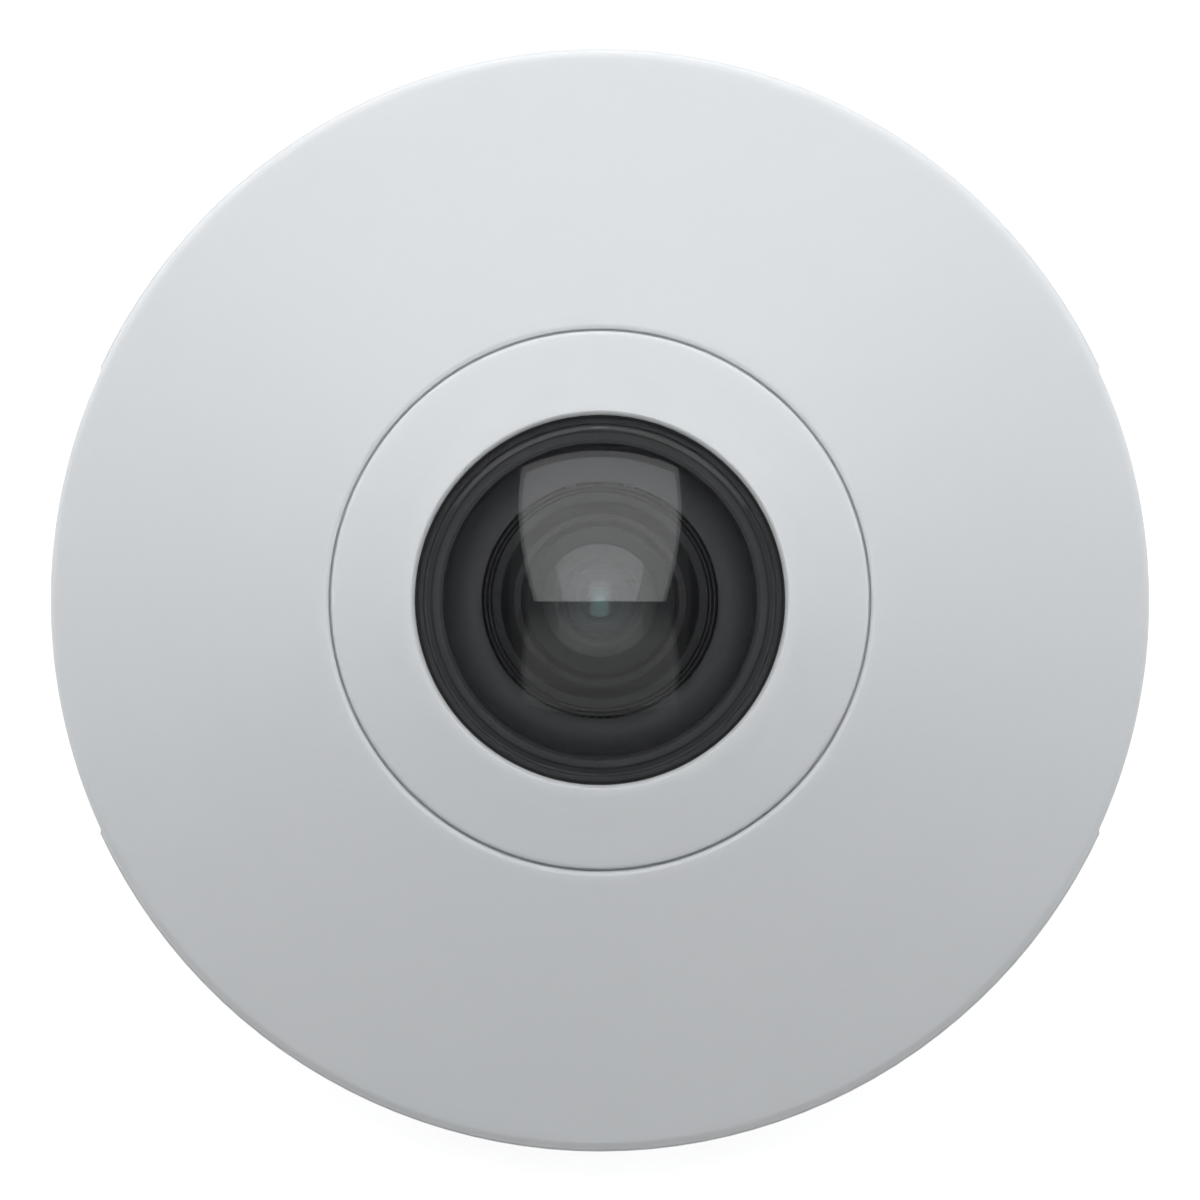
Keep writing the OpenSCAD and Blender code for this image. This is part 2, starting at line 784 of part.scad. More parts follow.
// Power transformer: ferrite halves round a taped winding, on a moulded foot
module transformer() {
    h = roof_low - tall_clear - board_top;
    color("#2b2a28") at([transformer_place]) {
        block([transformer_size[0], transformer_size[1], transformer_foot_h], board_top);
        block([transformer_size[0] * core_shares[0], transformer_size[1] * core_shares[1], h], board_top);
        block([transformer_size[0] * winding_shares[0], transformer_size[1] * winding_shares[1],
            h * winding_shares[2]], board_top);
    }
}

module inductors() {
    color("#3a3a3c") at(inductor_places) translate([0, 0, board_top]) intersection() {
        block([inductor_w, inductor_w, inductor_h], 0);
        cylinder(r = inductor_w * inductor_round_share, h = inductor_h);
    }
}

module capacitors() {
    h = roof_low - 2 * tall_clear - board_top;
    color("lightgray") at(capacitor_places) translate([0, 0, board_top]) {
        block([capacitor_foot_w, capacitor_foot_w, capacitor_foot_w / 6], 0);
        cylinder(r = capacitor_r, h = h);
    }
}

// Tactile switch whose well takes the button's tip
module button_switch() {
    color("#303236") at([button_place]) difference() {
        block([switch_w, switch_w, switch_h], board_top);
        cylinder_from(button_tip_r + air, board_top + switch_h - switch_well_h,
            board_top + switch_h + overrun);
    }
}

// Grey push button that stands out of the shoulder and can't fall out
module control_button() {
    tip_low = board_top + switch_h - switch_well_h + button_travel + press_gap;
    collar_top = roof_low - button_play;
    color("darkgray") at([button_place]) {
        cylinder_from(button_tip_r, tip_low, collar_top);
        cylinder_from(button_collar_r, collar_top - button_collar_t, collar_top);
        cylinder_from(button_r, collar_top - button_collar_t, shoulder_top + button_rise);
    }
}

module status_light() {
    color("gold") at([light_place]) block(light_size, board_top);
}

// Clear rod that brings the light to the shoulder
module light_pipe() {
    color("aliceblue") at([light_place]) {
        cylinder_from(pipe_r, board_top + light_size[2] + press_gap, shoulder_top + pipe_head_h / 2);
        cylinder_from(pipe_head_r, shoulder_top, shoulder_top + pipe_head_h);
    }
}

// Hexagonal brass spacers between the boards
module board_spacers() {
    color("goldenrod") at(spacer_places) difference() {
        translate([0, 0, board_top]) cylinder(r = spacer_r, h = sensor_lift, $fn = 6);
        cylinder_from(spacer_bore_r, board_top + tip_gap / 2, sensor_board_low + overrun);
    }
}

module sensor_board() {
    color("seagreen") translate([0, 0, sensor_board_low]) linear_extrude(sensor_board_t) difference() {
        translate([-sensor_board_w / 2, sensor_board_y[0]])
            square([sensor_board_w, sensor_board_y[1] - sensor_board_y[0]]);
        at(spacer_places) circle(r = spacer_bore_r + screw_play);
        for (side = [-1, 1]) translate([side * ear_x, ear_y]) circle(r = spacer_bore_r + screw_play);
    }
}

module sensor_screws() {
    color("silver") at(spacer_places) translate([0, 0, sensor_board_top])
        screw(sensor_head, spacer_bore_r - fit, sensor_board_t + sensor_lift - tip_gap);
}

module image_sensor() {
    color("#2a2c33") block([sensor_w, sensor_w, sensor_t], sensor_board_top);
}

module sensor_glass() {
    color("lightsteelblue")
        block([sensor_glass_w, sensor_glass_w, sensor_glass_t], sensor_board_top + sensor_t);
}

module flex_connectors() {
    width = flex_y[1] - flex_y[0] + 2 * connector_over;
    color("ivory") for (place = [[flex_board_x - connector_l, board_top], [flex_sensor_x, sensor_board_top]])
        translate([place[0], flex_y[0] - connector_over, place[1]]) cube([connector_l, width, connector_h]);
}

// Flat flex from the main board's connector up to the sensor board's
module flex_cable() {
    low = board_top + connector_h / 2;
    high = sensor_board_top + connector_h / 2;
    mid_x = (flex_board_x + flex_sensor_x) / 2;
    color("peru") translate([0, flex_y[1], 0]) rotate([90, 0, 0]) linear_extrude(flex_y[1] - flex_y[0]) {
        translate([flex_board_x, low]) square([mid_x - flex_bend - flex_board_x, flex_t]);
        translate([mid_x - flex_bend, low + flex_t + flex_bend]) quarter_ring(270);
        translate([mid_x, low + flex_t + flex_bend])
            square([flex_t, high - low - 2 * (flex_t + flex_bend)]);
        translate([mid_x + flex_t + flex_bend, high - flex_t - flex_bend]) quarter_ring(90);
        translate([mid_x + flex_t + flex_bend, high - flex_t])
            square([flex_sensor_x - mid_x - flex_t - flex_bend, flex_t]);
    }
}

// A quarter of the flex's bend, that starts at the given angle
module quarter_ring(from) {
    rotate(from) difference() {
        circle(r = flex_bend + flex_t);
        circle(r = flex_bend);
        translate([-2 * flex_bend, -4 * flex_bend]) square([4 * flex_bend, 4 * flex_bend]);
        translate([-4 * flex_bend, -2 * flex_bend]) square([4 * flex_bend, 4 * flex_bend]);
    }
}

// Black block on the sensor board: the filter changer's slide way, the lens tube and the rotor's foot
module lens_holder() {
    slide_half = holder_w / 2 - holder_wall;
    color("#232427") difference() {
        union() {
            translate([-holder_w / 2, holder_y[0], sensor_board_top])
                cube([holder_w, holder_y[1] - holder_y[0], holder_roof - sensor_board_top]);
            cylinder_from(holder_r, holder_roof - roof_t / 2, holder_top);
            translate([-foot_half, holder_y[1] - weld, sensor_board_top])
                cube([2 * foot_half, foot_end - holder_y[1] + weld, foot_t]);
            for (side = [-1, 1]) translate([side * ear_x, ear_y, sensor_board_top])
                cylinder(r = ear_r, h = ear_h);
        }
        block([chamber_w, chamber_w, chamber_h + overrun], sensor_board_top - overrun);
        cylinder_from(window_r, sensor_board_top, holder_roof + overrun);
        cylinder_from(tube_r + fit, holder_roof, holder_top + overrun);
        translate([-slide_half, -carriage_y - air, slide_z])
            cube([2 * slide_half, 2 * (carriage_y + air), slide_h]);
        translate([-pin_x - tab_half - air, 0, slide_z])
            cube([2 * (pin_x + tab_half + air), holder_y[1] + overrun, slide_h]);
        translate([0, rotor_y, sensor_board_top - overrun])
            cylinder(r = pivot_r + fit, h = foot_t + 2 * overrun);
        for (side = [-1, 1]) translate([side * ear_x, ear_y, 0])
            cylinder_from(spacer_bore_r, sensor_board_top - overrun, sensor_board_top + ear_bore_h);
    }
}

module holder_screws() {
    color("silver") for (side = [-1, 1]) translate([side * ear_x, ear_y, sensor_board_low])
        rotate([180, 0, 0]) screw(holder_head, spacer_bore_r - fit, sensor_board_t + ear_bore_h - tip_gap);
}

// Sliding frame with two panes side by side and the tab that the rotor's pin drives
module filter_carriage() {
    low = slide_z + carriage_lift;
    color("#1f2022") difference() {
        union() {
            translate([-carriage_side, -carriage_y, low])
                cube([filter_travel + 2 * carriage_side, 2 * carriage_y, carriage_h]);
            translate([pin_x - tab_half, 0, low]) cube([2 * tab_half, tab_end, carriage_h]);
        }
        for (x = [0, filter_travel]) {
            translate([x, 0, 0])
                cylinder_from(pane_w / 2 - pane_lip, low - overrun, low + carriage_h + overrun);
            translate([x, 0, 0])
                block([pane_w + 2 * fit, pane_w + 2 * fit, carriage_h], low + carriage_h - pane_t);
        }
        translate([pin_x - pin_r - pin_slack, pin_y_near - pin_r - pin_slack / 2, low - overrun])
            cube([2 * (pin_r + pin_slack), pin_y_far - pin_y_near + 2 * pin_r + pin_slack,
                carriage_h + 2 * overrun]);
    }
}

module infrared_filter() {
    color("lightcoral") block([pane_w, pane_w, pane_t], slide_z + carriage_lift + carriage_h - pane_t);
}

module clear_filter() {
    color("aliceblue") translate([filter_travel, 0, 0])
        block([pane_w, pane_w, pane_t], slide_z + carriage_lift + carriage_h - pane_t);
}

// Round magnet on a pivot, with the arm and pin that move the carriage
module filter_rotor() {
    foot_top = sensor_board_top + foot_t;
    color("slategray") translate([0, rotor_y, 0]) {
        cylinder_from(magnet_r, foot_top + fit, arm_low);
        cylinder_from(pivot_r, sensor_board_top + fit, foot_top + 2 * fit);
        cylinder_from(magnet_r, arm_low, arm_low + arm_t);
        rotate([0, 0, swing_half - 90]) {
            translate([0, -arm_half, arm_low]) cube([arm_r, 2 * arm_half, arm_t]);
            translate([arm_r, 0, 0]) cylinder_from(arm_half, arm_low, arm_low + arm_t);
            translate([arm_r, 0, 0]) cylinder_from(pin_r, arm_low - carriage_h - fit, arm_low + arm_t / 2);
        }
    }
}

// Steel yoke, a U round the magnet
module magnet_yoke() {
    low = sensor_board_top + foot_t;
    color("silver") {
        for (side = [-1, 1]) translate([side * (yoke_in + yoke_t / 2), rotor_y - yoke_t, 0])
            translate([-yoke_t / 2, 0, low]) cube([yoke_t, yoke_back - rotor_y + yoke_t, yoke_h]);
        translate([-yoke_in - yoke_t / 2, yoke_back - yoke_t, low + yoke_h - yoke_t])
            cube([2 * yoke_in + yoke_t, yoke_t, yoke_t]);
    }
}

// Copper winding on the yoke's bar
module coil() {
    low = sensor_board_top + foot_t + yoke_h - yoke_t;
    color("chocolate") difference() {
        translate([-coil_half, yoke_back - yoke_t - coil_wall, low - coil_wall])
            cube([2 * coil_half, yoke_t + 2 * coil_wall, yoke_t + 2 * coil_wall]);
        translate([-coil_half - overrun, yoke_back - yoke_t, low])
            cube([2 * (coil_half + overrun), yoke_t, yoke_t]);
    }
}

// Knurled nut that locks the lens in its holder
module lens_lock_ring() {
    color("#2d2f33") difference() {
        tube(lock_ring_r, tube_r + fit, holder_top, lock_ring_t);
        around([for (i = [1:lock_notch_count]) i * 360 / lock_notch_count], lock_ring_r + lock_notch_r / 2)
            cylinder_from(lock_notch_r, holder_top - overrun, head_low + overrun);
    }
}

// Black anodised barrel: threaded tube below, stepped head above
module lens_barrel() {
    spigot_r = glass_rim_r - 2 * fit;
    color("#1b1c1e") rotate_extrude() polygon([
        [lens_r + fit, barrel_low], [tube_r, barrel_low], [tube_r, head_low], [head_r, head_low],
        [head_r, head_step_z - 2 * head_chamfer], [head_r - head_chamfer / 2, head_step_z - head_chamfer],
        [step_r[7], head_step_z - head_chamfer], [step_r[6], head_step_z - head_groove_h],
        [step_r[5], head_step_z - head_groove_h], [step_r[4], head_step_z], [step_r[3], head_step_z],
        [step_r[2], head_step_z + head_chamfer], [step_r[1], ring_foot_z - head_chamfer],
        [step_r[0], ring_foot_z], [spigot_r, ring_foot_z], [spigot_r, glass_seat],
        [second_r + fit, glass_seat], [second_r + fit, bore_step], [lens_r + fit, bore_step]]);
}

// Black ring that clamps the front glass
module front_lens_ring() {
    color("#202124") rotate_extrude() polygon([
        [glass_rim_r + fit, ring_foot_z], [ring_foot_r, ring_foot_z],
        [ring_top_r + ring_lift, glass_z - ring_edge_drop - ring_lift],
        [ring_top_r, glass_z - ring_edge_drop],
        [view_r + fit, glass_z + ring_lift], [view_r + fit, glass_z + fit],
        [glass_rim_r + fit, glass_edge + 2 * fit]]);
}

// Front glass: a meniscus whose convex side shows
module front_element() {
    color("lightsteelblue") difference() {
        intersection() {
            translate([0, 0, glass_cz]) sphere(r = glass_r);
            cylinder_from(glass_rim_r, glass_seat, glass_top + overrun);
        }
        translate([0, 0, glass_top - glass_t - glass_hollow_r]) sphere(r = glass_hollow_r);
    }
}

module second_element() {
    color("lightsteelblue") difference() {
        cylinder_from(second_r, second_low, second_low + second_t);
        translate([0, 0, second_low + second_t + second_hollow_r - second_hollow_h])
            sphere(r = second_hollow_r);
    }
}

module lens_spacer() {
    color("#26272a") tube(second_r, lens_r - ring_w, bore_step, second_low - bore_step);
}

// A biconvex lens whose low point is at z
module convex_lens(z, t) {
    intersection() {
        translate([0, 0, z + lens_bend]) sphere(r = lens_bend);
        translate([0, 0, z + t - lens_bend]) sphere(r = lens_bend);
        cylinder_from(lens_r, z, z + t);
    }
}

module middle_element() {
    color("lightsteelblue") convex_lens(middle_low, middle_t);
}

module aperture_stop() {
    color("#111214") tube(lens_r, stop_hole_r, stop_low, stop_t);
}

module rear_element() {
    color("lightsteelblue") convex_lens(rear_low, rear_t);
}

module rear_lens_ring() {
    color("#26272a") tube(lens_r, lens_r - ring_w, rear_ring_low, ring_t);
}

// Black stepped ring and bowl between the dome and the lens
module lens_shroud() {
    bowl = [for (i = [0:8]) let (a = 90 - i * 90 / 8)
        [bowl_in_r + bowl_w * sin(a), bowl_z + bowl_h * (1 - cos(a))]];
    color("#242527") rotate_extrude() polygon(concat(
        [[shroud_r, deck_top], [shroud_r, flange_low], [shroud_rim_in, flange_low],
            [shroud_groove[1], flange_low - shroud_chamfer],
            [shroud_groove[1], flange_low - shroud_groove_h],
            [shroud_groove[0], flange_low - shroud_groove_h], [shroud_groove[0], flange_low - ledge_drop],
            [ledge_r + shroud_chamfer / 2, flange_low - ledge_drop],
            [ledge_r, flange_low - ledge_drop - shroud_chamfer / 2]],
        bowl,
        [[bowl_in_r, bowl_z - bowl_t], [bowl_in_r + bowl_w / 2, bowl_z - bowl_t * bowl_back_share],
            [bowl_r + bowl_t / 3, deck_low + bowl_t / 2], [deck_hole_r - air, deck_top]]));
}

// Black rubber ring over and round the dome's flange
module dome_seal() {
    top_in = sqrt(pow(dome_r, 2) - pow(lip_z - dome_cz, 2)) + seal_fit;
    low_in = sqrt(pow(dome_r, 2) - pow(flange_top - dome_cz, 2)) + seal_fit;
    color("#0c0c0d") rotate_extrude() polygon([
        [low_in, flange_top], [flange_r + fit / 2, flange_top], [flange_r + fit / 2, flange_low],
        [flange_r + seal_wrap, flange_low], [flange_r + seal_wrap, lip_z], [top_in, lip_z]]);
}

// Clear moulded cap of a sphere with a flat flange
module dome_window() {
    color("lightcyan", 0.35) difference() {
        union() {
            intersection() {
                translate([0, 0, dome_cz]) sphere(r = dome_r);
                cylinder_from(flange_r, flange_low, dome_top + overrun);
            }
            cylinder_from(flange_r, flange_low, flange_top);
        }
        translate([0, 0, dome_cz]) sphere(r = dome_r - dome_t);
    }
}

// White moulded ring flush with the cover's face, with three screw bosses in its underside
module centre_bezel() {
    wall_in = pocket_r + bezel_inner_wall;
    wall_out = bezel_r - bezel_outer_wall;
    color("whitesmoke") difference() {
        union() {
            rotate_extrude() polygon(concat(
                [[bezel_r, deck_top], [bezel_r, face_z(bezel_r) - bezel_chamfer]],
                face_curve(bezel_r - bezel_chamfer, bore_r, 0, 6),
                [[lip_r, lip_z], [pocket_r, lip_z], [pocket_r, deck_top], [wall_in, deck_top],
                    [wall_in, shell_z(wall_in, cover_t)], [wall_out, shell_z(wall_out, cover_t)],
                    [wall_out, deck_top]]));
            around(bezel_screw_angles, bezel_screw_ring_r)
                cylinder_from(bezel_boss_r, deck_top, shell_z(wall_out, cover_t) + weld);
        }
        around(bezel_screw_angles, bezel_screw_ring_r)
            cylinder_from(bezel_bore_r, deck_top - overrun, deck_top + bezel_bore_h);
    }
}

module bezel_screws() {
    color("silver") around(bezel_screw_angles, bezel_screw_ring_r) translate([0, 0, deck_low])
        rotate([180, 0, 0]) screw(bezel_head, bezel_bore_r - fit, deck_t + bezel_bore_h - tip_gap);
}

// White moulded cover: skirt, filleted edge, slightly crowned cone, ribs and locating tongues
module top_cover() {
    skirt_low_r = cover_r + cover_draft;
    inner_r = cover_r - cover_t;
    color("whitesmoke") {
        rotate_extrude() polygon(concat(
            [[skirt_low_r, cover_low], [cover_r, edge_z]],
            arc([fillet_cr, edge_z], edge_fillet, 0, 90 - edge_slope, 8),
            arc([face_cr, face_cz], crown_r, 90 - edge_slope, hole_a, 12),
            arc([hole_cr, hole_cz], hole_fillet, hole_a, 180, 6),
            [[hole_r, collar_low], [hole_r + collar_t, collar_low]],
            face_curve(hole_r + collar_t, inner_r, cover_t, 10),
            [[skirt_low_r - cover_t, cover_low]]));
        for (i = [0:rib_count - 1]) rotate([90, 0, (i + 0.5) * 360 / rib_count])
            translate([0, 0, -rib_t / 2]) linear_extrude(rib_t)
                cover_rib(hole_r + collar_t / 2, inner_r + cover_t / 4);
        for (a = tongue_angles) turned(a - tongue_span / 2, a + tongue_span / 2, [
            [tongue_out_r - tongue_t, tongue_low], [tongue_out_r, tongue_low],
            [tongue_out_r, cover_low + weld], [inner_r + cover_t / 2, cover_low + weld],
            [inner_r + cover_t / 2, cover_low + tongue_rise],
            [tongue_out_r - tongue_t, cover_low + tongue_rise]]);
    }
}

module cover_rib(r_from, r_to) {
    polygon(concat(
        face_curve(r_from, r_to, cover_t / 2, 6),
        face_curve(r_to, r_from, cover_t + rib_h, 6)));
}

mounting_bracket();
base_housing();
cable_grommet();
chassis_screws();
inner_housing();
main_board();
board_screws();
network_socket();
socket_insert();
socket_contacts();
card_socket();
memory_card();
processor();
memory_chips();
thermal_pad();
transformer();
inductors();
capacitors();
button_switch();
control_button();
status_light();
light_pipe();
board_spacers();
sensor_board();
sensor_screws();
image_sensor();
sensor_glass();
flex_connectors();
flex_cable();
lens_holder();
holder_screws();
filter_carriage();
infrared_filter();
clear_filter();
filter_rotor();
magnet_yoke();
coil();
lens_lock_ring();
lens_barrel();
front_lens_ring();
front_element();
second_element();
lens_spacer();
middle_element();
aperture_stop();
rear_element();
rear_lens_ring();
lens_shroud();
dome_seal();
dome_window();
centre_bezel();
bezel_screws();
top_cover();
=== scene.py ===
import math

import bmesh
import bpy
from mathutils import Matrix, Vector


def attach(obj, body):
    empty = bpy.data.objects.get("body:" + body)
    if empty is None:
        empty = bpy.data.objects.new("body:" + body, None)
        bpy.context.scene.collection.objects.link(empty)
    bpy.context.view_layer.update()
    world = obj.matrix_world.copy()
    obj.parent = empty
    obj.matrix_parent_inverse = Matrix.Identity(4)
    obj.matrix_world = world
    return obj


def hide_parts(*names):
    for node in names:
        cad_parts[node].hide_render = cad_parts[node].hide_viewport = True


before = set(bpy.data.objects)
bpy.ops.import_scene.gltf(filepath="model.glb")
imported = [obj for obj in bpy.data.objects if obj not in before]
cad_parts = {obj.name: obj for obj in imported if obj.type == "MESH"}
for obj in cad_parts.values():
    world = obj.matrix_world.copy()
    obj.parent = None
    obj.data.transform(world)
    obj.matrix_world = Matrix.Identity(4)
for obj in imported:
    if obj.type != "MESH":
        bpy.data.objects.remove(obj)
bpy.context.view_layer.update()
bpy.context.scene.view_settings.view_transform = "Standard"

# --- Camera -------------------------------------------------------------------------------
# The photograph was taken straight along the lens axis from about a metre and a half, with a
# long lens. The rim fills 92% of the frame's width.

camera_z, sensor_mm, focal_mm = 1.5, 36, 380
camera = bpy.data.objects.new("camera", bpy.data.cameras.new("camera"))
camera.location = (0, 0, camera_z)
camera.data.sensor_fit = "HORIZONTAL"
camera.data.sensor_width = sensor_mm
camera.data.lens = focal_mm
camera.data.clip_start = 0.05
camera.data.clip_end = 50
bpy.context.scene.collection.objects.link(camera)
bpy.context.scene.camera = camera

# --- Ceiling bracket ------------------------------------------------------------------------
# A disc of 1.5 mm steel with a cable window, screw holes and three bent bayonet hooks. It is
# stamped, folded and zinc plated, and screwed to the ceiling.


def linear(code):
    """An sRGB hex value as the linear colour that a socket takes."""
    parts = [int(code[i : i + 2], 16) / 255 for i in (1, 3, 5)]
    return [c / 12.92 if c <= 0.04045 else ((c + 0.055) / 1.055) ** 2.4 for c in parts] + [1]


def new_finish(name):
    """An empty material with its node tree and its shader."""
    made = bpy.data.materials.new(name)
    made.use_nodes = True
    return made, made.node_tree, made.node_tree.nodes["Principled BSDF"]


def add(tree, kind, values={}, links={}, **settings):
    """A node with its settings, socket values and incoming links."""
    node = tree.nodes.new(kind)
    for name, value in settings.items():
        setattr(node, name, value)
    for socket, value in values.items():
        node.inputs[socket].default_value = value
    for socket, source in links.items():
        tree.links.new(source, node.inputs[socket])
    return node


def set_shader(shader, **values):
    """Numbers and colours that are the same all over a surface."""
    for name, value in values.items():
        shader.inputs[name.replace("_", " ")].default_value = value


def mottled(name, dark, light, cloud_mm, rough, grain_mm, grain_height, **values):
    """A finish of two near tones in soft clouds, with a gloss that varies and a fine relief."""
    made, tree, shader = new_finish(name)
    place = add(tree, "ShaderNodeTexCoord").outputs["Object"]
    cloud = add(
        tree, "ShaderNodeTexNoise", {"Scale": 1000 / cloud_mm, "Detail": 3}, {"Vector": place}
    )
    tone = add(
        tree,
        "ShaderNodeMix",
        {6: linear(dark), 7: linear(light)},
        {0: cloud.outputs["Fac"]},
        data_type="RGBA",
    )
    tree.links.new(tone.outputs[2], shader.inputs["Base Color"])
    gloss = add(
        tree,
        "ShaderNodeMapRange",
        {"To Min": rough[0], "To Max": rough[1]},
        {"Value": cloud.outputs["Fac"]},
    )
    tree.links.new(gloss.outputs[0], shader.inputs["Roughness"])
    grain = add(
        tree, "ShaderNodeTexNoise", {"Scale": 1000 / grain_mm, "Detail": 2}, {"Vector": place}
    )
    relief = add(
        tree,
        "ShaderNodeBump",
        {"Strength": 0.5, "Distance": grain_height / 1000},
        {"Height": grain.outputs["Fac"]},
    )
    tree.links.new(relief.outputs[0], shader.inputs["Normal"])
    set_shader(shader, **values)
    return made, tree, shader, place, tone


def dress(material, slot, *nodes):
    """CAD nodes that keep their shape and take this finish."""
    for name in nodes:
        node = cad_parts[name]
        node.data.materials.clear()
        node.data.materials.append(material)


# Bright zinc plate on rolled steel: a cold silver with a soft cloudy spangle of about 3 mm
zinc_plate, tree, shader, place, _ = mottled(
    "zinc_plated_rolled_steel", "#a9adb2", "#c6c9cd", 3, (0.28, 0.45), 0.3, 0.002, Metallic=1
)
# rolling marks along X, 16 mm long and 0.3 mm apart
mark_l, mark_gap = 16, 0.3
stretch = add(
    tree,
    "ShaderNodeMapping",
    {"Scale": (1000 / mark_l, 1000 / mark_gap, 1000 / mark_gap)},
    {"Vector": place},
)
lines = add(tree, "ShaderNodeTexNoise", {"Scale": 1, "Detail": 2}, {"Vector": stretch.outputs[0]})
relief = add(
    tree,
    "ShaderNodeBump",
    {"Strength": 0.08, "Distance": 0.00005},
    {"Height": lines.outputs["Fac"]},
)
tree.links.new(relief.outputs[0], shader.inputs["Normal"])
dress(zinc_plate, "zinc_plated_steel", "mounting_bracket")

# --- Base housing ---------------------------------------------------------------------------
# The white base with the finger recesses in its rim, cast in aluminium and sprayed with a
# satin polyester paint. It twists onto the bracket.

# Satin paint on a casting: nearly white, with a faint orange peel in waves of about 1 mm
cast_paint = mottled(
    "satin_paint_on_cast_aluminium", "#e3e6e9", "#e9ebed", 22, (0.4, 0.45), 1, 0.004, IOR=1.5
)[0]
dress(cast_paint, "painted_casting", "base_housing")

# --- Cable grommet --------------------------------------------------------------------------
# The sleeve that seals the network cable's way through the base: EPDM rubber, moulded with a
# groove that snaps into the hole.

# Moulded EPDM rubber: matt black with a slight bloom
epdm_rubber = mottled(
    "moulded_epdm_rubber", "#121213", "#1d1d1f", 2.5, (0.65, 0.8), 0.4, 0.008, IOR=1.48
)[0]
dress(epdm_rubber, "black_rubber", "cable_grommet")

# --- Machine screws -------------------------------------------------------------------------
# Small pan-head screws with cross recesses, cold headed and rolled in steel and nickel plated.
# They hold the chassis, the boards, the lens holder and the bezel.

# Nickel plate on cold-headed steel: bright and faintly warm, with fine tool marks
nickel_screws = mottled(
    "nickel_plated_cold_headed_steel",
    "#b5b1aa",
    "#cfccc6",
    0.8,
    (0.2, 0.32),
    0.12,
    0.002,
    Metallic=1,
)[0]
dress(
    nickel_screws,
    "plated_screws",
    "chassis_screws",
    "board_screws",
    "sensor_screws",
    "holder_screws",
    "bezel_screws",
)

# --- Inner housing --------------------------------------------------------------------------
# The dark tray over the electronics, injection moulded in ABS. Four screws hold it on the base,
# and its deck carries the dome and the bezel.

# Moulded dark ABS: charcoal, with an even spark-eroded grain drawn at 0.3 mm so that it shows
dark_abs = mottled(
    "moulded_charcoal_abs", "#303235", "#383a3d", 9, (0.5, 0.6), 0.3, 0.012, IOR=1.53
)[0]
dress(dark_abs, "dark_housing_plastic", "inner_housing")

# --- Circuit boards -------------------------------------------------------------------------
# The main board and the small sensor board: glass-fibre laminate, etched, drilled and coated
# with a green solder mask. Screws hold both.

# Green solder mask: glossy, with the copper tracks showing through as paler green lines
solder_mask, tree, shader, place, tone = mottled(
    "solder_mask_on_glass_fibre", "#0e3d25", "#124a2d", 6, (0.22, 0.3), 0.5, 0.002, IOR=1.55
)
# tracks run 1 mm apart, along X in some patches of the board, 6 mm wide, and along Y in others;
# a wave texture of scale 1 repeats every 100 pi millimetres
wave_mm, track_gap, patch_w = 100 * math.pi, 1, 6
along_x, along_y = (
    add(
        tree,
        "ShaderNodeTexWave",
        {"Scale": wave_mm / track_gap, "Distortion": 0.6, "Detail": 0},
        {"Vector": place},
        wave_type="BANDS",
        bands_direction=across,
    )
    for across in "YX"
)
patch = add(
    tree, "ShaderNodeTexVoronoi", {"Scale": 1000 / patch_w}, {"Vector": place}, distance="CHEBYCHEV"
)
apart = add(tree, "ShaderNodeSeparateColor", {}, {0: patch.outputs["Color"]})
turn = add(tree, "ShaderNodeMath", {1: 0.5}, {0: apart.outputs[0]}, operation="GREATER_THAN")
routed = add(
    tree,
    "ShaderNodeMix",
    {},
    {0: turn.outputs[0], 2: along_x.outputs["Fac"], 3: along_y.outputs["Fac"]},
    data_type="FLOAT",
)
laid = add(tree, "ShaderNodeMath", {1: 0.45}, {0: apart.outputs[1]}, operation="GREATER_THAN")
line = add(tree, "ShaderNodeMath", {1: 0.62}, {0: routed.outputs[0]}, operation="GREATER_THAN")
track = add(
    tree, "ShaderNodeMath", {}, {0: line.outputs[0], 1: laid.outputs[0]}, operation="MULTIPLY"
)
coated = add(
    tree,
    "ShaderNodeMix",
    {7: linear("#1f6a43")},
    {0: track.outputs[0], 6: tone.outputs[2]},
    data_type="RGBA",
)
tree.links.new(coated.outputs[2], shader.inputs["Base Color"])
raised = add(
    tree, "ShaderNodeBump", {"Strength": 0.4, "Distance": 0.00003}, {"Height": track.outputs[0]}
)
tree.links.new(raised.outputs[0], shader.inputs["Normal"])
dress(solder_mask, "circuit_board", "main_board", "sensor_board")

# --- Network socket and card socket ---------------------------------------------------------
# Shells folded from thin tin-plated steel and soldered to the main board. The network socket
# has a moulded black insert and eight gold-plated contact wires.

# Tin plate on folded steel: pale grey metal, soft sheen
tin_plate = mottled(
    "tin_plated_folded_steel", "#b9bcbf", "#cdd0d2", 2, (0.3, 0.42), 0.25, 0.003, Metallic=1
)[0]
dress(tin_plate, "tinned_steel", "network_socket", "card_socket")

# Moulded polybutylene: plain black, satin
black_polyester = mottled(
    "moulded_black_polybutylene", "#17181a", "#1f2022", 3, (0.42, 0.52), 0.2, 0.006, IOR=1.55
)[0]
dress(black_polyester, "black_plastic", "socket_insert", "button_switch")

# Gold plate on bronze wire: yellow, bright, with drawing marks
gold_wire = mottled(
    "gold_plated_bronze_wire", "#c79a3c", "#e0b659", 0.6, (0.18, 0.28), 0.1, 0.001, Metallic=1
)[0]
dress(gold_wire, "gold_plated_wire", "socket_contacts")

# --- Memory card ----------------------------------------------------------------------------
# A small removable card, moulded in black resin round its chips. It slides in its socket.

# Moulded card resin: blue-black, fine matt texture
card_resin = mottled(
    "moulded_memory_card_resin", "#14161b", "#1b1e24", 2, (0.5, 0.6), 0.15, 0.006, IOR=1.52
)[0]
dress(card_resin, "card_plastic", "memory_card")

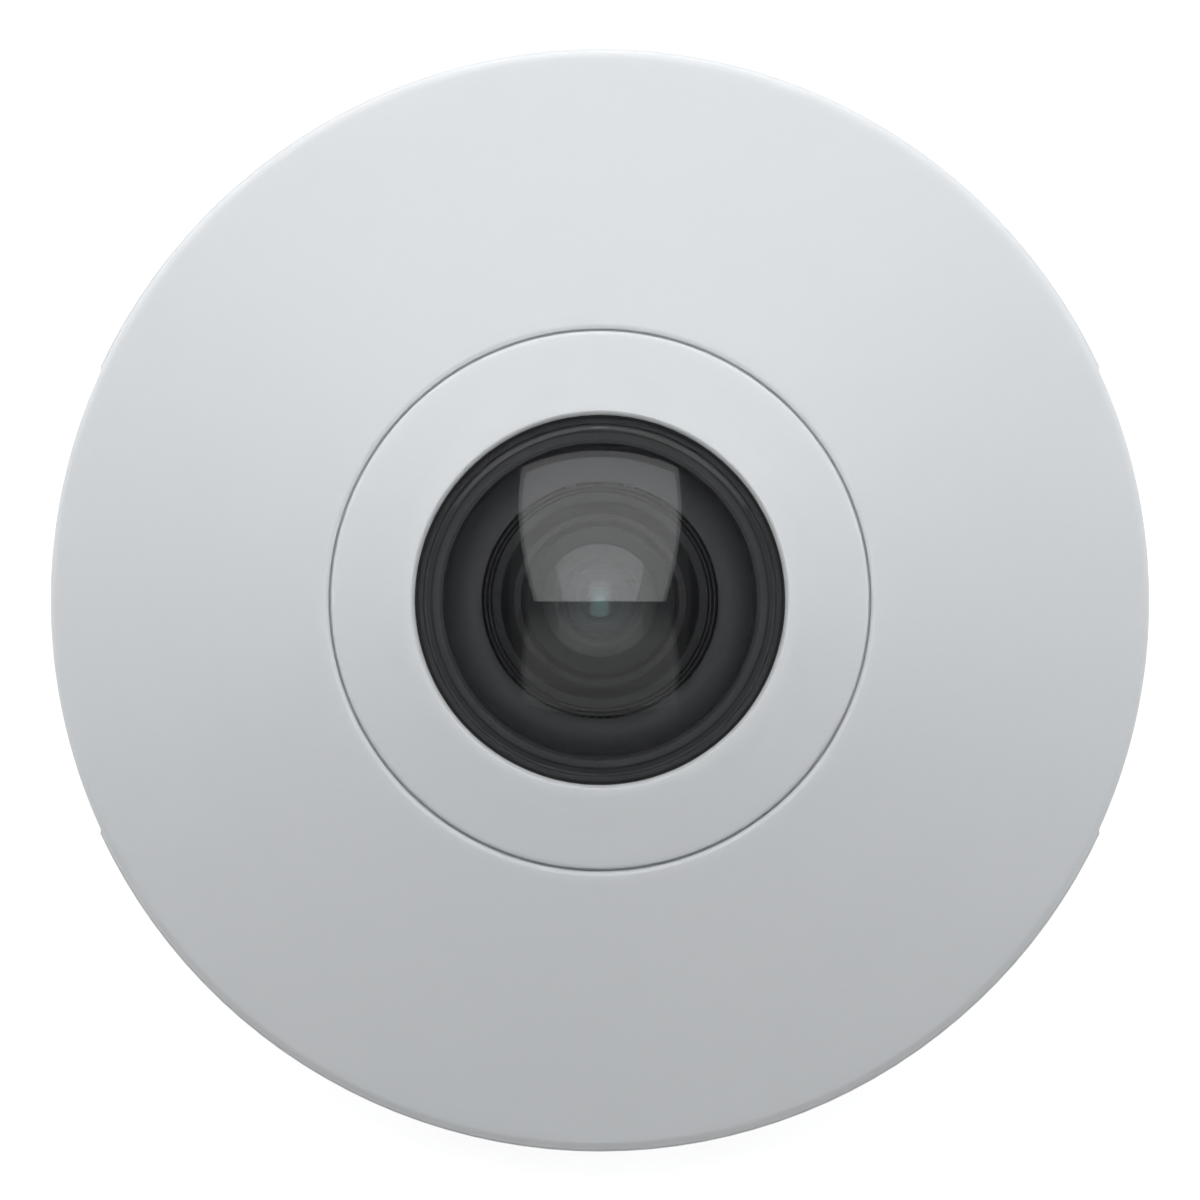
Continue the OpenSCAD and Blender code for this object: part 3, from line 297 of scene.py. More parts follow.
# --- Chips and thermal pad ------------------------------------------------------------------
# The processor and two memory chips in black epoxy, soldered under the main board. A silicone
# pad passes the processor's heat to the cast base.

# Transfer-moulded epoxy: charcoal, matt, with a fine sparkle of filler
chip_epoxy = mottled(
    "transfer_moulded_epoxy", "#26272a", "#313236", 0.5, (0.5, 0.65), 0.12, 0.004, IOR=1.57
)[0]
dress(chip_epoxy, "chip_resin", "processor", "memory_chips")

# Ceramic-filled silicone: blue grey, soft, matt
silicone_pad = mottled(
    "ceramic_filled_silicone", "#8a929c", "#9aa2ab", 1.5, (0.7, 0.85), 0.3, 0.012, IOR=1.43
)[0]
dress(silicone_pad, "thermal_silicone", "thermal_pad")

# --- Transformer and inductors --------------------------------------------------------------
# The power supply's wound parts: pressed and sintered ferrite cores round their windings,
# soldered to the top of the main board.

# Sintered ferrite: dark warm grey with pores of about 0.3 mm
ferrite = mottled(
    "sintered_ferrite", "#242220", "#3a3734", 1.2, (0.55, 0.75), 0.3, 0.02, IOR=2.0
)[0]
dress(ferrite, "ferrite_and_tape", "transformer", "inductors")

# --- Capacitors -----------------------------------------------------------------------------
# Electrolytic capacitors: drawn aluminium cans rolled onto rubber bungs, soldered on the board.

# Drawn aluminium: bright, with fine upright drawing marks 0.15 mm apart and 8 mm long
can_aluminium, tree, shader, place, _ = mottled(
    "drawn_aluminium_can", "#c3c5c8", "#d6d8da", 1, (0.25, 0.35), 0.2, 0.002, Metallic=1
)
mark_l, mark_gap = 8, 0.15
stretch = add(
    tree,
    "ShaderNodeMapping",
    {"Scale": (1000 / mark_gap, 1000 / mark_gap, 1000 / mark_l)},
    {"Vector": place},
)
drawn = add(tree, "ShaderNodeTexNoise", {"Scale": 1, "Detail": 1}, {"Vector": stretch.outputs[0]})
relief = add(
    tree,
    "ShaderNodeBump",
    {"Strength": 0.15, "Distance": 0.00003},
    {"Height": drawn.outputs["Fac"]},
)
tree.links.new(relief.outputs[0], shader.inputs["Normal"])
dress(can_aluminium, "capacitor_can", "capacitors")

# --- Control button, status light and light pipe --------------------------------------------
# The reset button and the light pipe stand out of the inner housing's shoulder. The button
# presses a switch on the board, and the pipe carries the light of a small lamp beside it.

# Moulded grey ABS: mid grey, satin
grey_abs = mottled(
    "moulded_grey_abs", "#8c8f92", "#989b9e", 2, (0.42, 0.5), 0.2, 0.006, IOR=1.53
)[0]
dress(grey_abs, "grey_plastic", "control_button")

# Moulded clear polycarbonate, frosted by its tool: milky, lets light through
frosted_clear = mottled(
    "frosted_clear_polycarbonate",
    "#dfe5e8",
    "#eef2f4",
    1.5,
    (0.25, 0.4),
    0.2,
    0.005,
    IOR=1.58,
    Transmission_Weight=0.6,
)[0]
dress(frosted_clear, "light_lens", "status_light", "light_pipe")

# --- Board spacers --------------------------------------------------------------------------
# Four hexagon spacers between the main board and the sensor board, turned from brass bar.

# Turned brass: yellow, bright, with the tool's rings 0.12 mm apart up its height
brass, tree, shader, place, _ = mottled(
    "turned_brass", "#b08d45", "#c8a55c", 1.2, (0.22, 0.34), 0.15, 0.002, Metallic=1
)
mark_l, mark_gap = 16, 0.12
stretch = add(
    tree,
    "ShaderNodeMapping",
    {"Scale": (1000 / mark_l, 1000 / mark_l, 1000 / mark_gap)},
    {"Vector": place},
)
rings = add(tree, "ShaderNodeTexNoise", {"Scale": 1, "Detail": 1}, {"Vector": stretch.outputs[0]})
relief = add(
    tree, "ShaderNodeBump", {"Strength": 0.2, "Distance": 0.00003}, {"Height": rings.outputs["Fac"]}
)
tree.links.new(relief.outputs[0], shader.inputs["Normal"])
dress(brass, "spacer_brass", "board_spacers")

# --- Image sensor ---------------------------------------------------------------------------
# The sensor chip in its flat ceramic frame, soldered on the sensor board under its cover glass.

# Fired ceramic and silicon: dark, glossy, with a faint violet cast
sensor_ceramic = mottled(
    "fired_ceramic_sensor_frame", "#1f1d26", "#2b2833", 0.9, (0.2, 0.35), 0.15, 0.002, IOR=1.75
)[0]
dress(sensor_ceramic, "chip_resin", "image_sensor")

# --- Flat flex and its connectors -----------------------------------------------------------
# A polyimide film with copper lines that joins the two boards, held in ivory connectors that
# are moulded in liquid-crystal polymer.

# Moulded liquid-crystal polymer: ivory, dry and matt
ivory_polymer = mottled(
    "moulded_ivory_crystal_polymer", "#d6ceb4", "#e0d9c1", 1.5, (0.5, 0.6), 0.15, 0.005, IOR=1.6
)[0]
dress(ivory_polymer, "ivory_plastic", "flex_connectors")

# Polyimide film: amber, glossy, over darker copper lines 1 mm apart
amber_film, tree, shader, place, tone = mottled(
    "polyimide_film_over_copper", "#a4561a", "#b5661f", 3, (0.25, 0.35), 0.3, 0.002, IOR=1.7
)
lane_gap = 1
lanes = add(
    tree,
    "ShaderNodeTexWave",
    {"Scale": wave_mm / lane_gap, "Distortion": 0, "Detail": 0},
    {"Vector": place},
    wave_type="BANDS",
    bands_direction="Y",
)
lane = add(tree, "ShaderNodeMath", {1: 0.5}, {0: lanes.outputs["Fac"]}, operation="GREATER_THAN")
laminated = add(
    tree,
    "ShaderNodeMix",
    {7: linear("#7c3a12")},
    {0: lane.outputs[0], 6: tone.outputs[2]},
    data_type="RGBA",
)
tree.links.new(laminated.outputs[2], shader.inputs["Base Color"])
dress(amber_film, "flex_film", "flex_cable")

# --- Lens holder and filter changer ---------------------------------------------------------
# The holder carries the lens's thread over the sensor. Inside it a carriage with two filters
# slides under the lens, pushed by the arm of a magnet that swings in the field of a coil.

# Moulded glass-filled polyamide: black, matt, slightly mottled
black_polyamide = mottled(
    "moulded_black_polyamide", "#1b1c1d", "#242526", 1.8, (0.5, 0.65), 0.2, 0.012, IOR=1.53
)[0]
dress(black_polyamide, "black_plastic", "lens_holder", "filter_carriage")

# Dichroic coat on float glass: clear, with a cyan body colour and a pink reflection
dichroic_glass = mottled(
    "dichroic_coated_float_glass",
    "#a9e3ea",
    "#b9ecef",
    2,
    (0.0, 0.03),
    0.8,
    0.0005,
    IOR=1.52,
    Transmission_Weight=0.9,
    Specular_Tint=linear("#f2a6c8"),
)[0]
dress(dichroic_glass, "optical_glass", "infrared_filter")

# Sintered neodymium with its moulded arm: dark grey metal, granular
magnet_metal = mottled(
    "sintered_and_plated_magnet", "#4a4b4e", "#5c5d60", 0.6, (0.35, 0.5), 0.15, 0.006, Metallic=0.7
)[0]
dress(magnet_metal, "rotor_magnet", "filter_rotor")
dress(zinc_plate, "zinc_plated_steel", "magnet_yoke")

# Enamelled copper wire: reddish brown and glossy. Its turns along X are drawn 0.3 mm apart,
# twice as coarse as they are, so that they show
enamelled_wire, tree, shader, place, _ = mottled(
    "wound_enamelled_copper_wire", "#8e3d1c", "#a64c24", 0.8, (0.22, 0.3), 0.3, 0.002, Metallic=0.8
)
wire_gap = 0.3
turns = add(
    tree,
    "ShaderNodeTexWave",
    {"Scale": wave_mm / wire_gap, "Distortion": 0.4, "Detail": 1},
    {"Vector": place},
    wave_type="BANDS",
    bands_direction="X",
)
wound = add(
    tree, "ShaderNodeBump", {"Strength": 0.7, "Distance": 0.00008}, {"Height": turns.outputs["Fac"]}
)
tree.links.new(wound.outputs[0], shader.inputs["Normal"])
dress(enamelled_wire, "coil_copper", "coil")

# --- Lens stack -----------------------------------------------------------------------------
# The inner lens parts: ground elements held apart by thin turned rings, under a ring that locks
# the barrel in its holder. The sensor's cover glass and the clear filter are polished flats.

# Black anodised aluminium: neutral black, softly glossy, with the lathe's fine rings
anodised, tree, shader = new_finish("black_anodised_turned_aluminium")
place = add(tree, "ShaderNodeTexCoord").outputs["Object"]
apart = add(tree, "ShaderNodeSeparateXYZ", {}, {0: place})
flat = add(tree, "ShaderNodeCombineXYZ", {}, {"X": apart.outputs["X"], "Y": apart.outputs["Y"]})
from_axis = add(tree, "ShaderNodeVectorMath", {}, {0: flat.outputs[0]}, operation="LENGTH")
# turning marks, drawn every 0.4 mm of radius so that they show and don't flicker
mark_gap = 0.4
marks = add(
    tree,
    "ShaderNodeTexNoise",
    {"Scale": 1000 / mark_gap, "Detail": 1},
    {"W": from_axis.outputs["Value"]},
    noise_dimensions="1D",
)
tone = add(
    tree,
    "ShaderNodeMix",
    {6: linear("#131416"), 7: linear("#191a1c")},
    {0: marks.outputs["Fac"]},
    data_type="RGBA",
)
tree.links.new(tone.outputs[2], shader.inputs["Base Color"])
relief = add(
    tree,
    "ShaderNodeBump",
    {"Strength": 0.06, "Distance": 0.00003},
    {"Height": marks.outputs["Fac"]},
)
tree.links.new(relief.outputs[0], shader.inputs["Normal"])
set_shader(shader, Roughness=0.43, Specular_IOR_Level=0.25)
dress(
    anodised,
    "black_anodised",
    "lens_lock_ring",
    "lens_spacer",
    "aperture_stop",
    "rear_lens_ring",
)

# Coated optical glass: clear, with a teal reflection from its anti-reflection coat
coated_glass = mottled(
    "coated_ground_optical_glass",
    "#f3f8f7",
    "#f8fbfa",
    4,
    (0.0, 0.02),
    2,
    0.0002,
    IOR=1.6,
    Transmission_Weight=1,
    Specular_Tint=linear("#b9eee7"),
)[0]
dress(coated_glass, "optical_glass", "clear_filter", "sensor_glass")

# --- Lens barrel ----------------------------------------------------------------------------
# The lens's body: aluminium, turned with fine steps at its front and a thread below, and black
# anodised. It screws into the lens holder.


def arc(centre, radius, start, stop, steps):
    """Points [radius, height] of an arc, its first point left out."""
    angles = [math.radians(start + (stop - start) * i / steps) for i in range(1, steps + 1)]
    return [(centre[0] + radius * math.cos(a), centre[1] + radius * math.sin(a)) for a in angles]


def eased(points, radius):
    """A closed profile whose corners are rounded off, as every moulded or turned edge is."""
    nearly_straight, longest_share = -0.97, 0.4
    out = []
    for i, (x, z) in enumerate(points):
        (ax, az), (bx, bz) = points[i - 1], points[(i + 1) % len(points)]
        la, lb = math.hypot(ax - x, az - z), math.hypot(bx - x, bz - z)
        if ((ax - x) * (bx - x) + (az - z) * (bz - z)) / (la * lb) < nearly_straight:
            out.append((x, z))
            continue
        ta, tb = min(radius / la, longest_share), min(radius / lb, longest_share)
        for t in (0, 0.33, 0.67, 1):
            u, v = (1 - t) ** 2 * ta, t**2 * tb
            out.append((x + (ax - x) * u + (bx - x) * v, z + (az - z) * u + (bz - z) * v))
    return out


def turned(name, profile, steps=360, closed=True, sharp=40):
    """A smooth solid turned round the lens axis from points [radius, height] in millimetres."""
    shape = bmesh.new()
    rings = []
    for r, z in profile:
        turns = [2 * math.pi * i / steps for i in range(steps)] if r > 1e-6 else [0]
        rings.append(
            [
                shape.verts.new((r * math.cos(a) / 1000, r * math.sin(a) / 1000, z / 1000))
                for a in turns
            ]
        )
    for low, high in zip(rings, rings[1:] + rings[:1] if closed else rings[1:]):
        for i in range(steps):
            j = (i + 1) % steps
            corners = [
                low[i % len(low)], low[j % len(low)], high[j % len(high)], high[i % len(high)]
            ]
            corners = list(dict.fromkeys(corners))
            if len(corners) > 2:
                shape.faces.new(corners)
    bmesh.ops.recalc_face_normals(shape, faces=shape.faces)
    mesh = bpy.data.meshes.new(name)
    shape.to_mesh(mesh)
    shape.free()
    mesh.shade_smooth()
    mesh.set_sharp_from_angle(angle=math.radians(sharp))
    piece = bpy.data.objects.new(name, mesh)
    bpy.context.scene.collection.objects.link(piece)
    return piece


def stand_for(piece, material, slot, body, *nodes):
    """A piece that shows instead of its CAD nodes and moves with their body."""
    piece.data.materials.append(material)
    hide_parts(*nodes)
    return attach(piece, body)


# where the front glass shows, its sphere, and the barrel's seat, foot and step below its edge
glass_top, view_r, glass_r = 39.65, 6.44, 16
glass_cz = glass_top - glass_r
glass_z = glass_cz + math.sqrt(glass_r**2 - view_r**2)
rim_glass_r = view_r + 0.76
seat_z = glass_z - 2.85
foot_z = glass_z - 3.65
tier_h, groove_h, chamfer, edge_r = 2.9, 0.6, 0.2, 0.06
step_z = foot_z - tier_h
head_low = step_z - tier_h
barrel_low, thread_r, bore_in_r, wide_bore_r, bore_step = 22.2, 7, 3.95, 4.95, 30.2
head_r, groove_out_edge, groove_in_edge, step_out_r, step_in_r = 13.3, 12.97, 12.5, 12.3, 11.35
slope_low_r, slope_high_r, foot_r, seat_lip = 11.11, 9.95, 9.75, 0.1
barrel_profile = [
    (bore_in_r, barrel_low), (thread_r, barrel_low), (thread_r, head_low), (head_r, head_low),
    (head_r, step_z - 2 * chamfer), (head_r - 0.1, step_z - chamfer),
    (groove_out_edge, step_z - chamfer), (12.74, step_z - groove_h),
    (groove_in_edge, step_z - groove_h), (step_out_r, step_z), (step_in_r, step_z),
    (slope_low_r, step_z + chamfer), (slope_high_r, foot_z - chamfer), (foot_r, foot_z),
    (rim_glass_r - seat_lip, foot_z), (rim_glass_r - seat_lip, seat_z),
    (wide_bore_r, seat_z), (wide_bore_r, bore_step), (bore_in_r, bore_step),
]
barrel = turned("barrel_body", eased(barrel_profile, edge_r), sharp=35)
stand_for(barrel, anodised, "black_anodised", "camera", "lens_barrel")

# --- Inner lens elements ----------------------------------------------------------------------
# Three smaller elements in the barrel's bore, ground, polished and coated: a hollowed one under
# the front glass, and two that bulge on both faces on either side of the stop.

second_r, second_low, second_t, second_hollow_r, second_hollow_h = 4.9, 31.447, 2.4, 4.6, 1.5
bevel_low, bevel_top = 0.15, 0.1
second_top = second_low + second_t
second_hollow_z = second_top + second_hollow_r - second_hollow_h
mouth_a = math.asin((second_hollow_r - second_hollow_h) / second_hollow_r)
mouth_r = second_hollow_r * math.cos(mouth_a)
second_profile = (
    [(0, second_low), (second_r - bevel_low, second_low), (second_r, second_low + bevel_low)]
    + [(second_r, second_top - bevel_top), (second_r - bevel_top, second_top)]
    + [(mouth_r, second_top)]
    + arc((0, second_hollow_z), second_hollow_r, -math.degrees(mouth_a), -90, 24)[:-1]
    + [(0, second_top - second_hollow_h)]
)
second_glass = turned("second_glass", second_profile, steps=180, closed=False, sharp=25)
second_glass.visible_shadow = False
stand_for(second_glass, coated_glass, "optical_glass", "camera", "second_element")

# Edge blackening: the ground rims of the elements are painted matt black against stray light
edge_black = mottled(
    "matt_black_edge_paint",
    "#0b0b0c",
    "#121213",
    1,
    (0.6, 0.75),
    0.3,
    0.004,
    Specular_IOR_Level=0.3,
)[0]


def blacken(piece, from_r, polished):
    """Paint on the faces beyond a radius in millimetres, but not on the polished side, 1 or -1."""
    piece.data.materials.append(edge_black)
    for face in piece.data.polygons:
        if face.center.xy.length * 1000 > from_r and face.normal.z * polished < 0.5:
            face.material_index = 1


blacken(second_glass, mouth_r, polished=-1)

lens_r, bend_r = 3.9, 8
bend_a = math.degrees(math.asin(lens_r / bend_r))
for name, node, lens_low, lens_t in (
    ("middle_glass", "middle_element", 26.7, 3.5),
    ("rear_glass", "rear_element", 23.2, 3.2),
):
    profile = (
        [(0, lens_low)]
        + arc((0, lens_low + bend_r), bend_r, -90, bend_a - 90, 16)
        + arc((0, lens_low + lens_t - bend_r), bend_r, 90 - bend_a, 90, 16)[:-1]
        + [(0, lens_low + lens_t)]
    )
    element = turned(name, profile, steps=180, closed=False, sharp=25)
    element.visible_shadow = False
    stand_for(element, coated_glass, "optical_glass", "camera", node)

# --- Front lens ring ------------------------------------------------------------------------
# The sloped black ring that clamps the front glass, turned in aluminium and anodised like the
# barrel, and screwed down on it.

glass_edge = glass_cz + math.sqrt(glass_r**2 - rim_glass_r**2)
ring_gap, ring_foot_r, ring_bevel, ring_lip = 0.05, 9.03, 0.15, 0.1
ring_top_r, ring_top_z = rim_glass_r + 1.1, glass_z - 0.7
ring_profile = [
    (rim_glass_r + ring_gap, foot_z), (ring_foot_r, foot_z),
    (ring_top_r + ring_bevel, ring_top_z - ring_bevel), (ring_top_r, ring_top_z),
    (view_r + ring_gap, glass_z + ring_gap + ring_lip), (view_r + ring_gap, glass_z + ring_gap),
    (rim_glass_r + ring_gap, glass_edge + ring_lip),
]
lens_ring = turned("lens_front_ring", eased(ring_profile, edge_r), sharp=35)
stand_for(lens_ring, anodised, "black_anodised", "camera", "front_lens_ring")

# --- Front glass ----------------------------------------------------------------------------
# The lens's front element: a meniscus of optical glass, ground, polished and coated. It sits on
# the barrel's seat under the front ring.

hollow_r, glass_t = 5, 1.3
hollow_z = glass_top - glass_t - hollow_r
hollow_a = math.asin((seat_z - hollow_z) / hollow_r)
hollow_mouth_r = hollow_r * math.cos(hollow_a)
element_profile = (
    [(0, glass_top)]
    + arc((0, glass_cz), glass_r, 90, math.degrees(math.acos(rim_glass_r / glass_r)), 24)
    + [(rim_glass_r, seat_z), (hollow_mouth_r, seat_z)]
    + arc((0, hollow_z), hollow_r, math.degrees(hollow_a), 90, 24)[:-1]
    + [(0, glass_top - glass_t)]
)
front_glass = turned("front_glass", element_profile, closed=False, sharp=25)
front_glass.visible_shadow = False

# Coated glass over the dark lens: a little milky, because its two coats scatter some light
milky_glass = mottled(
    "coated_front_optical_glass",
    "#e6f0f0",
    "#eef5f5",
    4,
    (0.0, 0.02),
    2,
    0.0002,
    IOR=1.45,
    Transmission_Weight=0.975,
)[0]
stand_for(front_glass, milky_glass, "optical_glass", "camera", "front_element")
blacken(front_glass, hollow_mouth_r, polished=1)

# --- Lens shroud ----------------------------------------------------------------------------
# The black stepped ring and bowl that hide the inside of the camera from the dome: glass-filled
# nylon, moulded. The dome's flange clamps it on the deck.

flange_r, flange_top, flange_low, deck_top = 24.5, 35.24, 33.24, 31.24
bowl_in_r, bowl_out_r, bowl_z, bowl_h, bowl_t = 13.565, 17.65, 29.04, 3.2, 0.95
ledge_w, ledge_bevel = 0.075, 0.1
ledge_r, land_z = bowl_out_r + ledge_w, flange_low - 0.45
groove_in_r, groove_out_r, groove_z, rim_in_r, rim_bevel = 19.17, 19.79, flange_low - 0.8, 20, 0.2
# the bowl's underside, from its foot to the hole in the deck
back_r, back_z, bend_out_r, bend_z, deck_hole_r = 15.61, bowl_z - 0.71, 17.97, 29.9, 19.1
shroud_profile = (
    [(flange_r, deck_top), (flange_r, flange_low), (rim_in_r, flange_low)]
    + [(groove_out_r, flange_low - rim_bevel), (groove_out_r, groove_z), (groove_in_r, groove_z)]
    + [(groove_in_r, land_z), (ledge_r + ledge_bevel, land_z), (ledge_r, land_z - ledge_bevel)]
    + [
        (bowl_in_r + (bowl_out_r - bowl_in_r) * math.cos(a), bowl_z + bowl_h * (1 - math.sin(a)))
        for a in [math.radians(i * 90 / 32) for i in range(33)]
    ]
    + [(bowl_in_r, bowl_z - bowl_t), (back_r, back_z)]
    + [(bend_out_r, bend_z), (deck_hole_r, deck_top)]
)
shroud = turned("shroud_ring", shroud_profile, sharp=35)

# Glass-filled nylon: near black and satin. The bowl and the rim are painted a little greyer than
# the land and the groove, as painted light for the light they catch. Its fibres show as a fine
# grain, drawn at 0.2 mm
shroud_nylon, tree, shader, place, tone = mottled(
    "moulded_black_glass_filled_nylon",
    "#18191b",
    "#1f2022",
    3.8,
    (0.4, 0.5),
    0.2,
    0.008,
    Specular_IOR_Level=0.42,
)
# painted light: the bowl below the land and the rim above the groove take a lighter grey, standing
# in for the light that falls on them
apart = add(tree, "ShaderNodeSeparateXYZ", {}, {0: place})
bowl = add(
    tree,
    "ShaderNodeMath",
    {1: (land_z - ledge_bevel / 2) / 1000},
    {0: apart.outputs["Z"]},
    operation="LESS_THAN",
)
rim = add(
    tree,
    "ShaderNodeMath",
    {1: (flange_low - rim_bevel / 2) / 1000},
    {0: apart.outputs["Z"]},
    operation="GREATER_THAN",
)
painted_light_mask = add(tree, "ShaderNodeMath", {}, {0: bowl.outputs[0], 1: rim.outputs[0]}, operation="ADD")
painted_light_tone = add(
    tree,
    "ShaderNodeMix",
    {7: linear("#404144")},
    {0: painted_light_mask.outputs[0], 6: tone.outputs[2]},
    data_type="RGBA",
)
tree.links.new(painted_light_tone.outputs[2], shader.inputs["Base Color"])
stand_for(shroud, shroud_nylon, "black_plastic", "camera", "lens_shroud")

# --- Dome window ----------------------------------------------------------------------------
# The clear cap over the lens: optical polycarbonate, injection moulded 2 mm thick and hard
# coated, with a flat flange under the bezel.

dome_r, dome_z, dome_t, dome_ior = 30.01, 14.64, 2, 1.43
dome_in_r = dome_r - dome_t
rim_a = math.degrees(math.asin((flange_top - dome_z) / dome_r))
inner_a = math.degrees(math.asin((flange_low - dome_z) / dome_in_r))
dome_profile = (
    [(0, dome_z + dome_r)]
    + arc((0, dome_z), dome_r, 90, rim_a, 48)
    + [(flange_r, flange_top), (flange_r, flange_low)]
    + [(dome_in_r * math.cos(math.radians(inner_a)), flange_low)]
    + arc((0, dome_z), dome_in_r, inner_a, 90, 48)[:-1]
    + [(0, dome_z + dome_in_r)]
)
dome = turned("dome_shell", dome_profile, closed=False, sharp=30)

# Hard-coated optical polycarbonate: clear, with crisp reflections. Lamp light passes it as
# Fresnel's law says, so that its steep edge keeps some light from the bore
clear_coated, tree, shader, _, _ = mottled(
    "hard_coated_clear_polycarbonate",
    "#fafcfd",
    "#fcfdfe",
    16,
    (0.0, 0.004),
    5,
    0.00005,
    IOR=dome_ior,
    Transmission_Weight=1,
)
path = add(tree, "ShaderNodeLightPath")
kept_out = add(tree, "ShaderNodeFresnel", {"IOR": dome_ior})
# the coat on each side doubles the loss
loss = add(
    tree, "ShaderNodeMath", {1: 2}, {0: kept_out.outputs[0]}, operation="MULTIPLY", use_clamp=True
)
passed = add(
    tree,
    "ShaderNodeMix",
    {6: linear("#ffffff"), 7: linear("#000000")},
    {0: loss.outputs[0]},
    data_type="RGBA",
)
through = add(tree, "ShaderNodeBsdfTransparent", {}, {"Color": passed.outputs[2]})
lit = add(
    tree,
    "ShaderNodeMixShader",
    {},
    {0: path.outputs["Is Shadow Ray"], 1: shader.outputs[0], 2: through.outputs[0]},
)
tree.links.new(lit.outputs[0], tree.nodes["Material Output"].inputs["Surface"])
stand_for(dome, clear_coated, "clear_dome", "camera", "dome_window")

# --- Dome seal ------------------------------------------------------------------------------
# The black line round the dome: a ring of moulded silicone rubber that wraps the dome's flange
# and is squeezed under the bezel's lip.

lip_r, lip_z, seal_gap, seal_out_r, seal_rise, seal_bulge = 21.35, 35.99, 0.02, 24.9, 0.1, 0.03
seal_top = lip_z + seal_rise
seal_profile = [
    (math.sqrt(dome_r**2 - (flange_top - dome_z) ** 2) + seal_gap, flange_top),
    (flange_r + seal_gap, flange_top),
    (flange_r + seal_gap, flange_low),
    (seal_out_r, flange_low),
    (seal_out_r, lip_z),
    (lip_r, lip_z),
    (lip_r + seal_bulge, seal_top),
    (math.sqrt(dome_r**2 - (seal_top - dome_z) ** 2) + seal_gap, seal_top),
]
seal = turned("seal_ring", seal_profile)

# Black silicone rubber: matt, deep black
seal_rubber = mottled(
    "moulded_black_silicone_rubber", "#0d0d0e", "#141415", 1.1, (0.65, 0.75), 0.4, 0.004, IOR=1.43
)[0]
stand_for(seal, seal_rubber, "black_rubber", "camera", "dome_seal")

# --- Centre bezel ---------------------------------------------------------------------------
# The white ring round the dome, moulded in the same plastic as the cover and flush with it. Three
# screws from below hold it, and its lip presses the seal onto the dome.


def face_height(r, depth=0):
    """Height of the crowned cone, or of a surface that lies depth below it."""
    return face_z + math.sqrt((crown_r - depth) ** 2 - (r - face_r) ** 2)


def face_curve(r_from, r_to, depth, steps):
    radii = [r_from + (r_to - r_from) * i / steps for i in range(steps + 1)]
    return [(r, face_height(r, depth)) for r in radii]


def extend(piece, *solids):
    """More closed solids in a piece's mesh, each skinned over rows of points in millimetres."""
    shape = bmesh.new()
    shape.from_mesh(piece.data)
    for rows in solids:
        rings = [
            [shape.verts.new((x / 1000, y / 1000, z / 1000)) for x, y, z in row] for row in rows
        ]
        made = [shape.faces.new(rings[0]), shape.faces.new(rings[-1])]
        for low, high in zip(rings, rings[1:]):
            for i in range(len(low)):
                j = (i + 1) % len(low)
                made.append(shape.faces.new((low[i], low[j], high[j], high[i])))
        bmesh.ops.recalc_face_normals(shape, faces=made)
    shape.to_mesh(piece.data)
    shape.free()


def spun(profile, angle):
    """The points [radius, height] of a profile, turned to an angle in degrees."""
    a = math.radians(angle)
    return [(r * math.cos(a), r * math.sin(a), z) for r, z in profile]


# the cover's face is a cone with a slight crown; the bezel's face is the middle of it
cover_r, cover_t, edge_fillet, crown_r, slope = 64.175, 2, 1.6, 560, 22.3
bezel_r, bore_r, lip_h, face_bevel, bore_draft = 31.1, 21.785, 1.2, 0.12, 0.02
fillet_r = cover_r - edge_fillet
face_r = fillet_r + (edge_fillet - crown_r) * math.sin(math.radians(slope))
face_z = lip_z + lip_h - math.sqrt(crown_r**2 - (bore_r - face_r) ** 2)
pocket_r, wall_r, land_r = 24.95, 26.7, 29
# a bead under the face closes the seam to the cover; its depths count from the face's edge
bead_r, bead_top, bead_low, bead_bevel = 31.36, 1.5, 2.1, 0.1
edge_top = face_height(bezel_r)
bezel_profile = (
    [(bezel_r, deck_top), (bezel_r, edge_top - bead_low)]
    + [(bead_r, edge_top - bead_low + bead_bevel), (bead_r, edge_top - bead_top)]
    + [(bezel_r, edge_top - bead_top), (bezel_r, edge_top - face_bevel)]
    + face_curve(bezel_r - face_bevel, bore_r + face_bevel, 0, 24)
    + [(bore_r - bore_draft, face_height(bore_r) - face_bevel - bore_draft), (lip_r, lip_z)]
    + [(pocket_r, lip_z), (pocket_r, deck_top), (wall_r, deck_top)]
    + [(wall_r, face_height(wall_r, cover_t))]
    + [(land_r, face_height(land_r, cover_t)), (land_r, deck_top)]
)
bezel = turned("bezel_ring", bezel_profile, steps=480, sharp=50)
boss_ring_r, boss_r, boss_bore_r, boss_bore_h, boss_root = 27.45, 1.5, 0.9, 1.9, 0.05
for angle in (30, 150, 270):
    x, y, _ = spun([(boss_ring_r, 0)], angle)[0]
    extend(
        bezel,
        [
            [(x + px, y + py, z) for px, py, _ in (spun([(r, 0)], i * 15)[0] for i in range(24))]
            for r, z in (
                (boss_r, face_height(land_r, cover_t) + boss_root),
                (boss_r, deck_top),
                (boss_bore_r, deck_top),
                (boss_bore_r, deck_top + boss_bore_h),
            )
        ],
    )

# Moulded polycarbonate blend: cool white and satin. Light spreads 1.4 mm under its skin, which
# softens the seam and the bore's edge. The grain is drawn at 0.25 mm to show
light_spread_mm = 1.4
cover_plastic = mottled(
    "moulded_polycarbonate_abs_blend",
    "#e5e9ec",
    "#e8ebee",
    33,
    (0.43, 0.47),
    0.25,
    0.004,
    IOR=1.55,
    Subsurface_Weight=1,
    Subsurface_Radius=(1, 0.97, 0.94),
    Subsurface_Scale=light_spread_mm / 1000,
)[0]
cover_plastic.node_tree.nodes["Principled BSDF"].subsurface_method = "BURLEY"
stand_for(bezel, cover_plastic, "white_cover_plastic", "camera", "centre_bezel")

# --- Top cover ------------------------------------------------------------------------------
# The shallow white cone that hides everything but the lens: injection moulded, with eight ribs
# inside. It clips over the base with four tongues.

